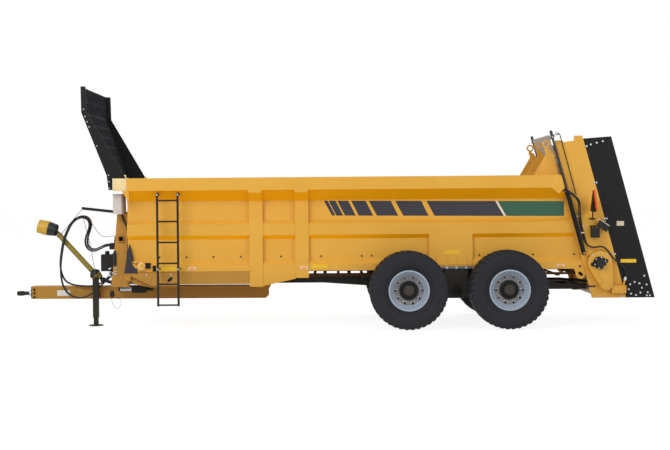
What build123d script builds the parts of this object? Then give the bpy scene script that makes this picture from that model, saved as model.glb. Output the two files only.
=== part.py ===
from build123d import *
import math
import os

# Twin-axle rear-discharge manure spreader, in millimetres.
# +X points to the rear of the machine, -Y is its left side and +Z is up.
# The origin is on the ground, under the middle of the machine.

# Running gear
tyre_radius = 682.0
tyre_width = 620.0
tyre_inner_y = 930.0
rim_radius = 355.0
front_axle_x = 1385.0
axle_spacing = 1730.0
lug_count = 24
lug_height = 22.0
hub_radius = 150.0
stub_radius = 55.0
beam_pin_z = 621.0

# Chassis
chassis_front_x = -1024.7
chassis_rear_x = 4647.7
chassis_inner_y = 360.0
chassis_width = 100.0
chassis_bottom_z = 613.0
chassis_top_z = 872.0
channel_wall = 12.0

# Hopper
body_front_x = -3550.0
sheet = 8.0
wall_y = 830.0
sill_y = 900.0
rail_y = 1130.0
sill_bottom_z = 1006.0
sill_top_z = 1127.0
wall_bottom_z = 1206.0
flare_bottom_z = 2249.0
rail_bottom_z = 2435.0
rail_top_z = 2655.0
rail_front_x = -3750.0
rib_y = 900.0
rib_bottom_z = 1569.0
rib_top_z = 1900.0
rib_slope = 70.0
post_width = 236.0
post_y = 915.0

# Pads that seat the bogie under the hopper
pad_front_x = 1777.0
pad_rear_x = 2543.0
pad_y = 915.0
pad_bottom_z = 1090.0
pad_bar_z = 1060.0

# Floor conveyor
floor_top_z = 1070.0
bearer_bottom_z = 945.0
bearer_pitch = 430.0
link_half_height = 20.0
return_run_z = 915.0
chain_y = 700.0
chain_band = 24.0
floor_shaft_rear_x = 4690.0
floor_shaft_front_x = -3290.0

# Rear end: everything leans forward at the top by the same angle
lean_angle = 15.0
foot_z = 490.0
body_rear_foot_x = 4648.0
frame_front_foot_x = 4740.0
frame_joint_foot_x = 5243.0
panel_rear_foot_x = 5745.0
frame_y = 920.0
frame_sheet = 10.0
frame_top_z = 3255.0
panel_top_z = 3330.0

# Beaters
beater_foot_x = 5330.0
beater_y = 430.0
beater_radius = 375.0
beater_core_radius = 100.0
beater_bottom_z = 860.0
beater_top_z = 3040.0
flight_pitch = 560.0
gearbox_beam_x = 5401.0
gearbox_beam_z = 649.0

# Slurry door
door_bottom_z = 2040.0
door_height = 1370.0
door_half_width = 842.0
door_sheet = 8.0
door_depth = 46.0
ram_y = 1003.0
ram_barrel_radius = 38.0
ram_rod_radius = 20.0
ram_joint_z = 2358.0
ram_foot_z = 1328.0

# Drawbar and hitch
hitch_tip_x = -5752.0
hitch_z = 573.0
drawbar_front_x = -5440.0
drawbar_rear_x = -1110.0
drawbar_bottom_z = 478.0
drawbar_top_z = 707.0
drawbar_half_width = 125.0
drawbar_pin_x = -1255.0
eye_bore = 50.0

# Jack
jack_x = -4236.0
jack_y = 300.0
jack_tube = 98.0
jack_leg = 78.0
jack_foot_radius = 130.0
jack_tube_bottom_z = 150.0
jack_top_z = 854.0

# Headboard
headboard_top_z = 4260.0
headboard_bend_z = 3810.0

# Drive line
pto_tube_radius = 45.0
driveline_z = 760.0

clearance = 0.3

lean_slope = math.tan(math.radians(lean_angle))
rear_axle_x = front_axle_x + axle_spacing
bogie_x = front_axle_x + axle_spacing / 2
tyre_mid_y = tyre_inner_y + tyre_width / 2
axle_z = tyre_radius
top_run_z = floor_top_z + link_half_height + clearance
sprocket_radius = (top_run_z - return_run_z) / 2
floor_shaft_z = (top_run_z + return_run_z) / 2

os.makedirs("parts", exist_ok=True)


def lean_x(foot_x, z):
    """The x of a leaning line at a height, from its x at the foot of the rear frame."""
    return foot_x - lean_slope * (z - foot_z)


def lean_point(foot_x, z):
    """A side-view point on a leaning line."""
    return (lean_x(foot_x, z), z)


def keep(piece, label):
    """Name a finished piece and write it out."""
    piece.part.label = label
    export_step(piece.part, f"parts/{label}.step")


def side_plate(points, inner, outer, mode=Mode.ADD):
    """A right-hand plate cut to (x, z) points, between two distances from the centre line."""
    with BuildSketch(Plane.XZ.offset(-outer)) as outline:
        with BuildLine():
            Polyline(*points, close=True)
        make_face()
    return extrude(outline.sketch, amount=outer - inner, mode=mode)


def side_channel(points, inner, outer, wall):
    """A right-hand channel with its web outside, its flanges following (x, z) points."""
    side_plate(points, inner, outer)
    with BuildSketch(Plane.XZ.offset(-(outer - wall))) as inset:
        with BuildLine():
            Polyline(*points, close=True)
        make_face()
        offset(amount=-wall, mode=Mode.REPLACE)
    extrude(inset.sketch, amount=outer - wall - inner, mode=Mode.SUBTRACT)


def cross_section(points, start, end, mode=Mode.ADD):
    """A profile of (y, z) points carried along the machine from one x to another."""
    with BuildSketch(Plane.YZ.offset(start)) as outline:
        with BuildLine():
            Polyline(*points, close=True)
        make_face()
    return extrude(outline.sketch, amount=end - start, mode=mode)


def block(x, y, z, mode=Mode.ADD):
    """A box given by its two limits along each axis."""
    centre = (sum(x) / 2, sum(y) / 2, sum(z) / 2)
    with Locations(centre):
        return Box(x[1] - x[0], y[1] - y[0], z[1] - z[0], mode=mode)


def rod(start, end, radius, mode=Mode.ADD):
    """A round bar between two points."""
    axis = Vector(*end) - Vector(*start)
    with BuildSketch(Plane(origin=start, z_dir=axis)) as section:
        Circle(radius)
    return extrude(section.sketch, amount=axis.length, mode=mode)


def both_sides(piece):
    """Add the left-hand copy of a right-hand piece."""
    mirror(piece.part, about=Plane.XZ)


# Wheels: tyre with shoulder lugs, and disc wheel with its hub
rim_half = tyre_width / 2 - 75
bead_y = tyre_width / 2 - 60
shoulder_radius = tyre_radius - lug_height - 34
tread_radius = tyre_radius - lug_height


def tyre_section():
    """Half a tyre's section, as (radius, distance across) corners from bead to crown."""
    return [
        (rim_radius + clearance, bead_y - 30),
        (rim_radius + clearance, bead_y),
        (rim_radius + 70, tyre_width / 2 - 22),
        (rim_radius + 150, tyre_width / 2),
        (rim_radius + 215, tyre_width / 2 - 8),
        (shoulder_radius, tyre_width / 2 - 34),
        (tread_radius, tyre_width / 2 - 100),
    ]


# Columns: radius, distance outward from the wheel's middle
rim_profile = [
    (hub_radius + 10, 96), (200, 96), (262, 110), (286, 128),
    (306, 60), (306, -rim_half), (332, -rim_half), (332, -rim_half - 14),
    (rim_radius, -rim_half - 14), (rim_radius, -rim_half - 4), (322, -rim_half + 4),
    (322, rim_half - 4), (rim_radius, rim_half + 4), (rim_radius, rim_half + 14),
    (332, rim_half + 14), (300, rim_half - 30), (276, 144), (258, 122),
    (200, 108), (hub_radius + 10, 108),
]
# Columns: start and end outward from the wheel's middle, radius
hub_drums = [(-tyre_width / 2 + 30, 150, hub_radius - 20), (80, 112, hub_radius + 12), (150, 196, hub_radius - 58)]

with BuildPart() as right_tyre:
    half = tyre_section()
    with BuildSketch(Plane.XY):
        with BuildLine():
            Polyline(*half, *[(r, -y) for r, y in reversed(half)], close=True)
        make_face()
    revolve(axis=Axis.Y)
    for face, phase in ((1, 0), (-1, 180 / lug_count)):
        with BuildSketch(Plane(origin=(0, face * 25, 0), x_dir=(1, 0, 0), z_dir=(0, face, 0))):
            with PolarLocations(tyre_radius - 50, lug_count, start_angle=phase):
                Rectangle(100, 74)
        extrude(amount=tyre_width / 2 - 62)

with BuildPart() as right_wheel:
    with BuildSketch(Plane.XY):
        with BuildLine():
            Polyline(*rim_profile, close=True)
        make_face()
    revolve(axis=Axis.Y)
    for start, end, radius in hub_drums:
        with BuildSketch(Plane(origin=(0, start, 0), x_dir=(1, 0, 0), z_dir=(0, 1, 0))):
            Circle(radius)
        extrude(amount=end - start)
    with BuildSketch(Plane(origin=(0, 108, 0), x_dir=(1, 0, 0), z_dir=(0, 1, 0))):
        with PolarLocations(225, 10):
            Circle(15)
    extrude(amount=26)
    with BuildSketch(Plane(origin=(0, -tyre_width / 2 + 30, 0), x_dir=(1, 0, 0), z_dir=(0, 1, 0))):
        Circle(stub_radius + clearance)
    extrude(amount=220, mode=Mode.SUBTRACT)

for axle, axle_x in (("front", front_axle_x), ("rear", rear_axle_x)):
    for side, sign, turn in (("left", -1, 180), ("right", 1, 0)):
        place = Location((axle_x, sign * tyre_mid_y, axle_z), (0, 0, turn))
        with BuildPart() as tyre:
            add(right_tyre.part.moved(place))
        keep(tyre, f"tyre_{axle}_{side}")
        with BuildPart() as wheel:
            add(right_wheel.part.moved(place))
        keep(wheel, f"wheel_{axle}_{side}")

# Walking beams, one a side, with the stub axles that carry the wheels
beam_inner_y = 790.0
beam_outer_y = 862.0
with BuildPart() as walking_beams:
    drop = 95
    beam_points = [
        (front_axle_x - 120, axle_z - 60), (front_axle_x - 120, axle_z + 75),
        (front_axle_x + 60, axle_z + 95), (bogie_x - 240, beam_pin_z + 120),
        (bogie_x + 240, beam_pin_z + 120), (rear_axle_x - 60, axle_z + 95),
        (rear_axle_x + 120, axle_z + 75), (rear_axle_x + 120, axle_z - 60),
        (rear_axle_x - 60, axle_z - drop), (bogie_x + 260, beam_pin_z - 110),
        (bogie_x - 260, beam_pin_z - 110), (front_axle_x + 60, axle_z - drop),
    ]
    side_plate(beam_points, beam_inner_y, beam_outer_y)
    for axle_x in (front_axle_x, rear_axle_x):
        rod((axle_x, beam_outer_y - 10, axle_z), (axle_x, tyre_inner_y + 225, axle_z), stub_radius)
    rod((bogie_x, beam_inner_y - 60, beam_pin_z), (bogie_x, beam_outer_y + 34, beam_pin_z), 45)
    both_sides(walking_beams)
keep(walking_beams, "walking_beams")

# Hangers that carry the walking beams, bolted up to the hopper's pads
hanger_front_x = bogie_x - 210
hanger_rear_x = bogie_x + 215
hanger_bottom_z = 502.0
hanger_top_z = 1021.0
hanger_seat_z = 935.0
hanger_seat_y = 842.0
hanger_inner_y = 748.0
hanger_outer_y = 896.0
hanger_wall = 20.0
with BuildPart() as bogie_hangers:
    hanger_points = [(hanger_front_x, hanger_bottom_z), (hanger_rear_x, hanger_bottom_z),
                     (hanger_rear_x, hanger_top_z), (hanger_front_x, hanger_top_z)]
    side_plate(hanger_points, hanger_outer_y - hanger_wall, hanger_outer_y)
    block((hanger_front_x, hanger_rear_x), (hanger_inner_y, hanger_inner_y + hanger_wall),
          (hanger_bottom_z, hanger_seat_z))
    block((hanger_front_x, hanger_rear_x), (hanger_inner_y, hanger_outer_y), (beam_pin_z + 135, hanger_seat_z))
    block((hanger_front_x, hanger_rear_x), (hanger_seat_y, hanger_outer_y), (hanger_seat_z, hanger_top_z))
    block((pad_front_x + 210, pad_rear_x), (hanger_seat_y, pad_y - 3), (hanger_top_z, pad_bar_z))
    rod((bogie_x, hanger_inner_y - 5, beam_pin_z), (bogie_x, hanger_outer_y + 5, beam_pin_z),
        45 + clearance, mode=Mode.SUBTRACT)
    # Teardrop plate that keeps the pin in
    with BuildSketch(Plane.XZ.offset(-hanger_outer_y - 12)) as keeper:
        with Locations((bogie_x, beam_pin_z)):
            Circle(72)
        with Locations((bogie_x, beam_pin_z + 150)):
            Circle(30)
        make_hull()
        with Locations((bogie_x, beam_pin_z)):
            Circle(20, mode=Mode.SUBTRACT)
    extrude(keeper.sketch, amount=12)
    both_sides(bogie_hangers)
keep(bogie_hangers, "bogie_hangers")

# Chassis: two long channels, the cross frame at the bogie, and the rear cross member
chassis_outer_y = chassis_inner_y + chassis_width
with BuildPart() as chassis:
    side_points = [
        (chassis_front_x, chassis_top_z), (chassis_front_x, 812), (-600, 800), (750, 700), (1500, chassis_bottom_z),
        (chassis_rear_x, chassis_bottom_z), (chassis_rear_x, chassis_bottom_z + 100),
        (4150, chassis_bottom_z + 100), (3750, chassis_top_z),
    ]
    side_channel(side_points, chassis_inner_y, chassis_outer_y, channel_wall)
    both_sides(chassis)
    for cross_x in (hanger_front_x + 40, hanger_rear_x - 160):
        block((cross_x, cross_x + 120), (-hanger_inner_y, hanger_inner_y), (chassis_bottom_z + 12, chassis_bottom_z + 100))
    # Columns: front face, bottom and top of each cross member
    for cross_x, bottom, top in (
        (-300, 812, 867), (900, 705, 725), (3300, 625, 705), (4400, 625, 705),
    ):
        block((cross_x, cross_x + 80), (4 - chassis_outer_y, chassis_outer_y - 4), (bottom, top))
keep(chassis, "chassis")

# Cross bearers under the floor, from sill to sill
bearer_top_z = floor_top_z - sheet
bearer_count = 18
bearer_half = sill_y - 60 - clearance
first_bearer_x = -3077.0
with BuildPart() as bearers:
    for i in range(bearer_count):
        x = first_bearer_x + i * bearer_pitch
        block((x - 30, x + 30), (-bearer_half, bearer_half), (bearer_bottom_z, bearer_top_z))
        block((x - 30, x + 22), (-bearer_half, bearer_half), (bearer_bottom_z + sheet, bearer_top_z - sheet),
              mode=Mode.SUBTRACT)
keep(bearers, "cross_bearers")

# Front subframe: longitudinals under the floor, uprights ahead of the hopper, and the drawbar's bracket
front_foot_z = 733.0
long_top_z = sill_bottom_z - clearance
long_bottom_z = 780.0
long_outer_y = sill_y - sheet - clearance
long_front_x = -3604.0
long_rear_x = -1150.0
cross_bottom_z = 800.0
cross_top_z = 868.0
with BuildPart() as front_subframe:
    long_points = [(long_front_x, long_top_z), (long_front_x, long_top_z - 25), (-3164, long_bottom_z),
                   (long_rear_x, long_bottom_z), (long_rear_x, long_top_z)]
    side_channel(long_points, long_outer_y - 50, long_outer_y, channel_wall)
    # Slot in the longitudinal's top flange for the conveyor's front shaft
    block((floor_shaft_front_x - 34, floor_shaft_front_x + 34), (long_outer_y - 55, long_outer_y - channel_wall),
          (long_top_z - 50, long_top_z + 1), mode=Mode.SUBTRACT)
    upright_points = [(-3750, 2031), (-3790, 1569), (-3862, front_foot_z), (body_front_x - clearance, front_foot_z),
                      (body_front_x - clearance, 2031)]
    side_channel(upright_points, 660, 740, sheet)
    # Bracket plate bolted over the longitudinal
    side_plate([(-3362, 992), (-3362, 872), (-3164, 772), (-3120, 757), (-2641, 757), (-2641, 992)],
               long_outer_y - 2, long_outer_y + 14)
    rod((-2792, long_outer_y - 20, 871), (-2792, long_outer_y + 20, 871), 24, mode=Mode.SUBTRACT)
    # Pivot cheeks for the drawbar
    cheek_points = [(drawbar_pin_x - 170, cross_bottom_z + 2), (drawbar_pin_x - 90, 500), (drawbar_pin_x + 90, 500),
                    (drawbar_pin_x + 230, cross_bottom_z + 2)]
    side_plate(cheek_points, drawbar_half_width + 8, drawbar_half_width + 33)
    both_sides(front_subframe)
    # Cross members that join the two sides
    for x0, x1, half, z0, z1 in (
        (long_front_x + 4, -3500, long_outer_y - 6, cross_bottom_z + 50, long_top_z - 2),
        (-2300, -2220, long_outer_y - 6, cross_bottom_z, cross_top_z),
        (drawbar_pin_x - 170, drawbar_pin_x + 230, long_outer_y - 6, cross_bottom_z, cross_top_z),
        (-3862, -3800, 740, cross_bottom_z, cross_bottom_z + 120),
        (-3585, -3535, 60, cross_bottom_z, cross_bottom_z + 60),
    ):
        block((x0, x1), (-half, half), (z0, z1))
    block((-3733, -3631), (-780, 780), (1539, 1642))
    block((-3723, -3641), (-780, 780), (1549, 1632), mode=Mode.SUBTRACT)
    rod((drawbar_pin_x, -drawbar_half_width - 50, hitch_z), (drawbar_pin_x, drawbar_half_width + 50, hitch_z), 22)
keep(front_subframe, "front_subframe")

# Drawbar: a long box girder with a pointed tail, pivoted at the rear
with BuildPart() as drawbar:
    bar_points = [
        (drawbar_front_x, drawbar_bottom_z), (drawbar_front_x, drawbar_top_z), (-1500, drawbar_top_z - 10),
        (drawbar_rear_x, hitch_z + 20), (drawbar_rear_x, hitch_z - 60), (drawbar_rear_x - 50, drawbar_bottom_z - 14),
    ]
    side_plate(bar_points, -drawbar_half_width, drawbar_half_width)
    inner_points = [(drawbar_front_x + 20, drawbar_bottom_z + 12), (drawbar_front_x + 20, drawbar_top_z - 12),
                    (-1520, drawbar_top_z - 22), (-1420, drawbar_top_z - 40), (-1420, drawbar_bottom_z)]
    side_plate(inner_points, -drawbar_half_width + 12, drawbar_half_width - 12, mode=Mode.SUBTRACT)
    rod((drawbar_pin_x, -drawbar_half_width - 5, hitch_z), (drawbar_pin_x, drawbar_half_width + 5, hitch_z),
        22 + clearance, mode=Mode.SUBTRACT)
keep(drawbar, "drawbar")

# Hitch: a flanged shank that ends in a ring eye
eye_radius = 78.0
eye_x = hitch_tip_x + eye_radius
with BuildPart() as hitch:
    block((drawbar_front_x - 22, drawbar_front_x), (-115, 115), (drawbar_bottom_z + 5, drawbar_top_z - 5))
    with BuildSketch(Plane.XZ):
        with BuildLine():
            Polyline((eye_bore / 2, hitch_z - 26), (eye_radius - 12, hitch_z - 39), (eye_radius, hitch_z - 22),
                     (eye_radius, hitch_z + 22), (eye_radius - 12, hitch_z + 39), (eye_bore / 2, hitch_z + 26),
                     close=True)
        make_face()
    ring = revolve(axis=Axis.Z, mode=Mode.PRIVATE)
    add(ring.moved(Location((eye_x, 0, 0))))
    rod((eye_x + eye_radius - 10, 0, hitch_z), (drawbar_front_x - 20, 0, hitch_z), 34)
    rod((drawbar_front_x - 70, 0, hitch_z), (drawbar_front_x - 20, 0, hitch_z), 56)
    with Locations((eye_x, 0, hitch_z)):
        Cylinder(eye_bore / 2, 120, mode=Mode.SUBTRACT)
keep(hitch, "hitch_eye")

# Jack: a square tube on the drawbar's side, with a leg that slides in it
leg_bore = jack_leg + 2 * clearance
with BuildPart() as jack_outer:
    block((jack_x - jack_tube / 2, jack_x + jack_tube / 2), (-jack_y - jack_tube / 2, -jack_y + jack_tube / 2),
          (jack_tube_bottom_z, jack_top_z))
    block((jack_x - leg_bore / 2, jack_x + leg_bore / 2), (-jack_y - leg_bore / 2, -jack_y + leg_bore / 2),
          (jack_tube_bottom_z, jack_top_z - 20), mode=Mode.SUBTRACT)
    block((jack_x - 50, jack_x + 50), (-jack_y + jack_tube / 2, -drawbar_half_width - clearance),
          (drawbar_bottom_z + 4, drawbar_bottom_z + 84))
    rod((jack_x, -jack_y, jack_top_z - 5), (jack_x, -jack_y, jack_top_z + 30), 34)
    rod((jack_x + 46, -jack_y - 30, jack_top_z - 330), (jack_x + 95, -jack_y - 50, jack_top_z - 330), 14)
keep(jack_outer, "jack_tube")

with BuildPart() as jack_inner:
    block((jack_x - jack_leg / 2, jack_x + jack_leg / 2), (-jack_y - jack_leg / 2, -jack_y + jack_leg / 2),
          (10, jack_tube_bottom_z + 520))
    with BuildSketch(Plane(origin=(jack_x, -jack_y, 0))):
        Circle(jack_foot_radius)
    extrude(amount=14)
    with BuildSketch(Plane(origin=(jack_x, -jack_y, 14))):
        Circle(62)
    extrude(amount=10, taper=30)
keep(jack_inner, "jack_leg")

# Hopper: folded side sheets with sill, rib, posts and top rail
rail_lip = 70.0
side_section = [
    (sill_y, sill_bottom_z), (sill_y, sill_top_z), (wall_y, wall_bottom_z), (wall_y, flare_bottom_z),
    (rail_y - 26, rail_bottom_z), (rail_y, rail_bottom_z), (rail_y, rail_top_z), (rail_y - rail_lip, rail_top_z),
    (rail_y - rail_lip, rail_top_z - 40), (rail_y - rail_lip + sheet, rail_top_z - 40),
    (rail_y - rail_lip + sheet, rail_top_z - sheet), (rail_y - sheet, rail_top_z - sheet),
    (rail_y - sheet, rail_bottom_z + sheet), (rail_y - 29, rail_bottom_z + sheet),
    (wall_y - sheet, flare_bottom_z + 4), (wall_y - sheet, wall_bottom_z - 3), (sill_y - sheet, sill_top_z - 3),
    (sill_y - sheet, sill_bottom_z + sheet), (sill_y - 60, sill_bottom_z + sheet), (sill_y - 60, sill_bottom_z),
]
rail_section = [
    (rail_y - 26, rail_bottom_z), (rail_y, rail_bottom_z), (rail_y, rail_top_z), (rail_y - rail_lip, rail_top_z),
    (rail_y - rail_lip, rail_top_z - 40), (rail_y - rail_lip + sheet, rail_top_z - 40),
    (rail_y - rail_lip + sheet, rail_top_z - sheet), (rail_y - sheet, rail_top_z - sheet),
    (rail_y - sheet, rail_bottom_z + sheet), (rail_y - 26, rail_bottom_z + sheet),
]
rib_outer = [(wall_y, rib_bottom_z), (rib_y, rib_bottom_z + rib_slope), (rib_y, rib_top_z - 62), (wall_y, rib_top_z)]
rib_inner = [(wall_y, rib_bottom_z + 9), (rib_y - 6, rib_bottom_z + rib_slope + 3), (rib_y - 6, rib_top_z - 66),
             (wall_y, rib_top_z - 9)]
# Columns: front edge and bottom of each post
posts = [(-1392, 731), (-584, 882)]
rear_of_body = [lean_point(body_rear_foot_x, 0), lean_point(body_rear_foot_x, 4000), (7000, 4000), (7000, 0)]

with BuildPart() as post_shells:
    for front, bottom in posts:
        outer = [(sill_y, bottom), (post_y, bottom), (post_y, flare_bottom_z - 4), (rail_y, rail_bottom_z - 44),
                 (rail_y, rail_bottom_z), (rail_y - 26, rail_bottom_z), (wall_y, flare_bottom_z),
                 (wall_y, wall_bottom_z), (sill_y, sill_top_z)]
        inner = [(sill_y, bottom), (post_y - sheet, bottom), (post_y - sheet, flare_bottom_z),
                 (rail_y - 26, rail_bottom_z - 52), (rail_y - 26, rail_bottom_z), (wall_y, flare_bottom_z),
                 (wall_y, wall_bottom_z), (sill_y, sill_top_z)]
        cross_section(outer, front, front + post_width)
        cross_section(inner, front + sheet, front + post_width - sheet, mode=Mode.SUBTRACT)

with BuildPart() as side_rib:
    cross_section(rib_outer, body_front_x, 5000)
    cross_section(rib_inner, body_front_x - 1, 5001, mode=Mode.SUBTRACT)
    side_plate(rear_of_body, 700, 1300, mode=Mode.SUBTRACT)

with BuildPart() as right_side:
    cross_section(side_section, body_front_x, 5000)
    cross_section(rail_section, rail_front_x, body_front_x)
    cross_section([(rail_y - rail_lip, rail_bottom_z), (rail_y, rail_bottom_z), (rail_y, rail_top_z),
                   (rail_y - rail_lip, rail_top_z)], rail_front_x, rail_front_x + sheet)
    side_plate(rear_of_body, 700, 1300, mode=Mode.SUBTRACT)
    # Notch in the sill where the bogie's bar seats
    block((pad_front_x + 210 - clearance, pad_rear_x + clearance), (wall_y + 10, pad_y),
          (sill_bottom_z - 10, pad_bar_z + clearance), mode=Mode.SUBTRACT)
    # Slot in the sill's bottom flange for the conveyor's front shaft
    block((floor_shaft_front_x - 34, floor_shaft_front_x + 34), (sill_y - 70, sill_y - sheet),
          (sill_bottom_z - 5, sill_bottom_z + sheet + 25), mode=Mode.SUBTRACT)
    add(post_shells.part)
    add(side_rib.part)
    # Ear with a slotted hole at the sill's rear end
    with BuildSketch(Plane.XZ.offset(-sill_y)) as ear:
        with Locations((4445, 913)):
            Circle(85)
        with Locations((4370, 1060), (4425, 1060)):
            Circle(45)
        make_hull()
        with Locations((4445, 913)):
            SlotCenterToCenter(44, 56, rotation=-40, mode=Mode.SUBTRACT)
    extrude(ear.sketch, amount=sheet)
    # Skirt from the front post to the rear one
    side_plate([(posts[0][0] + post_width - 2, sill_bottom_z + 5), (posts[0][0] + post_width - 2, 742),
                (posts[1][0] + 2, 866), (posts[1][0] + 2, sill_bottom_z + 5)], sill_y - sheet, sill_y)
    # Bogie pad: face plate flush with the rib, its returns, bottom flange and gussets
    block((pad_front_x, pad_rear_x), (rib_y - sheet, rib_y), (pad_bottom_z, rib_bottom_z + rib_slope + 6))
    for x in (pad_front_x, pad_rear_x - sheet):
        block((x, x + sheet), (wall_y - 2, rib_y - 2), (wall_bottom_z, rib_bottom_z + 20))
    block((pad_front_x, pad_rear_x), (sill_y - 2, pad_y), (pad_bottom_z, pad_bottom_z + 30))
    for x in (1890, 2092, 2253, 2427):
        block((x, x + 12), (sill_y - 2, pad_y), (pad_bottom_z + 20, pad_bottom_z + 150))
    # Gusset under the rail's rear end
    rail_end_x = lean_x(body_rear_foot_x, rail_bottom_z)
    side_plate([(rail_end_x - 240, rail_bottom_z + 2), (rail_end_x - 2, rail_bottom_z + 2),
                (rail_end_x - 95, rail_bottom_z - 105)], rail_y - 12, rail_y)

for side, sign in (("left", -1), ("right", 1)):
    with BuildPart() as hopper_side:
        if sign > 0:
            add(right_side.part)
        else:
            mirror(right_side.part, about=Plane.XZ)
    keep(hopper_side, f"hopper_side_{side}")

# Front wall with its top cross rail and the sloped plate over the front of the conveyor
gap = clearance
wall_edge = [
    (sill_y - sheet - gap, floor_top_z + gap), (sill_y - sheet - gap, sill_top_z - 4),
    (wall_y - sheet - gap, wall_bottom_z - 4), (wall_y - sheet - gap, flare_bottom_z + 5),
    (rail_y - 30 - gap, rail_bottom_z + sheet + gap), (rail_y - sheet - gap, rail_bottom_z + sheet + gap),
    (rail_y - sheet - gap, rail_top_z - 45), (rail_y - rail_lip - gap, rail_top_z - 45),
    (rail_y - rail_lip - gap, rail_top_z),
]
with BuildPart() as front_wall:
    cross_section(wall_edge + [(-y, z) for y, z in reversed(wall_edge)], body_front_x, body_front_x + sheet)
    cross_half = rail_y - rail_lip - gap
    block((rail_front_x, body_front_x + 1), (-cross_half, cross_half), (rail_bottom_z + 60, rail_top_z))
    block((rail_front_x + sheet, body_front_x - sheet), (-cross_half, cross_half),
          (rail_bottom_z + 50, rail_top_z - sheet), mode=Mode.SUBTRACT)
    plate_half = wall_y - sheet - 2
    side_plate([(body_front_x + sheet - 1, 1330), (body_front_x + sheet - 1, 1342), (-3200, 1162), (-3200, 1150)],
               -plate_half, plate_half)
keep(front_wall, "hopper_front")

# Floor sheet that the conveyor slides on
with BuildPart() as floor:
    floor_half = sill_y - sheet - clearance
    block((floor_shaft_front_x + 36, lean_x(body_rear_foot_x, floor_top_z) - 2), (-floor_half, floor_half),
          (floor_top_z - sheet, floor_top_z))
    block((body_front_x, floor_shaft_front_x - 150), (-floor_half, floor_half), (floor_top_z - sheet, floor_top_z))
keep(floor, "hopper_floor")

# Floor conveyor: two chain strands and the slats across them, one closed loop
slat_count = 38
slat_half = 735.0
run_length = floor_shaft_rear_x - floor_shaft_front_x
half_turn = math.pi * sprocket_radius


def loop_place(distance):
    """A point of the conveyor's loop as (x, z), and the angle its outside has turned from straight up."""
    if distance < run_length:
        return floor_shaft_front_x + distance, floor_shaft_z + sprocket_radius, 0
    distance -= run_length
    if distance < half_turn:
        turn = distance / sprocket_radius
        return (floor_shaft_rear_x + sprocket_radius * math.sin(turn),
                floor_shaft_z + sprocket_radius * math.cos(turn), math.degrees(turn))
    distance -= half_turn
    if distance < run_length:
        return floor_shaft_rear_x - distance, floor_shaft_z - sprocket_radius, 180
    turn = (distance - run_length) / sprocket_radius + math.pi
    return (floor_shaft_front_x + sprocket_radius * math.sin(turn),
            floor_shaft_z + sprocket_radius * math.cos(turn), math.degrees(turn))


with BuildPart() as conveyor:
    middle = ((floor_shaft_front_x + floor_shaft_rear_x) / 2, floor_shaft_z)
    for y in (-chain_y, chain_y):
        with BuildSketch(Plane.XZ.offset(-y - chain_band / 2)) as band:
            with Locations(middle):
                SlotCenterToCenter(run_length, 2 * (sprocket_radius + link_half_height))
                SlotCenterToCenter(run_length, 2 * (sprocket_radius - link_half_height), mode=Mode.SUBTRACT)
        extrude(band.sketch, amount=chain_band)
    loop_length = 2 * (run_length + half_turn)
    for i in range(slat_count):
        x, z, turn = loop_place((i + 0.4) * loop_length / slat_count)
        with Locations(Location((x, 0, z), (0, turn, 0))):
            with Locations((0, 0, 28.5)):
                Box(50, 2 * slat_half, 27)
keep(conveyor, "floor_conveyor")

# Conveyor shafts with their sprockets, bearings and the front tensioners
with BuildPart() as floor_shafts:
    for shaft_x, radius in ((floor_shaft_front_x, 28), (floor_shaft_rear_x, 34)):
        for y in (-chain_y, chain_y):
            rod((shaft_x, y - chain_band / 2, floor_shaft_z), (shaft_x, y + chain_band / 2, floor_shaft_z),
                sprocket_radius - link_half_height - clearance)
    front_half = long_outer_y - channel_wall - clearance
    rod((floor_shaft_front_x, -front_half, floor_shaft_z), (floor_shaft_front_x, front_half, floor_shaft_z), 28)
    rod((floor_shaft_rear_x, -frame_y - 90, floor_shaft_z), (floor_shaft_rear_x, frame_y + 30, floor_shaft_z), 34)
    rod((floor_shaft_rear_x, frame_y + clearance, floor_shaft_z), (floor_shaft_rear_x, frame_y + 50, floor_shaft_z), 70)
keep(floor_shafts, "floor_shafts")

with BuildPart() as tensioners:
    block((-3461, -3214), (sill_y + clearance, sill_y + 40), (1176, 1188))
    block((-3354, -3230), (sill_y + clearance, sill_y + 46), (1039, 1153))
    rod((-3284, sill_y + 40, 1112), (-3284, sill_y + 66, 1112), 44)
    block((-3400, -3350), (sill_y + clearance, sill_y + 30), (1080, 1110))
    block((-3350, -3338), (sill_y + clearance, sill_y + 40), (1150, 1180))
    block((-3225, -3130), (sill_y + clearance, sill_y + 24), (1052, 1176))
    block((-3205, -3150), (sill_y - 10, sill_y + 30), (1070, 1125), mode=Mode.SUBTRACT)
    both_sides(tensioners)
keep(tensioners, "chain_tensioners")

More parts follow.
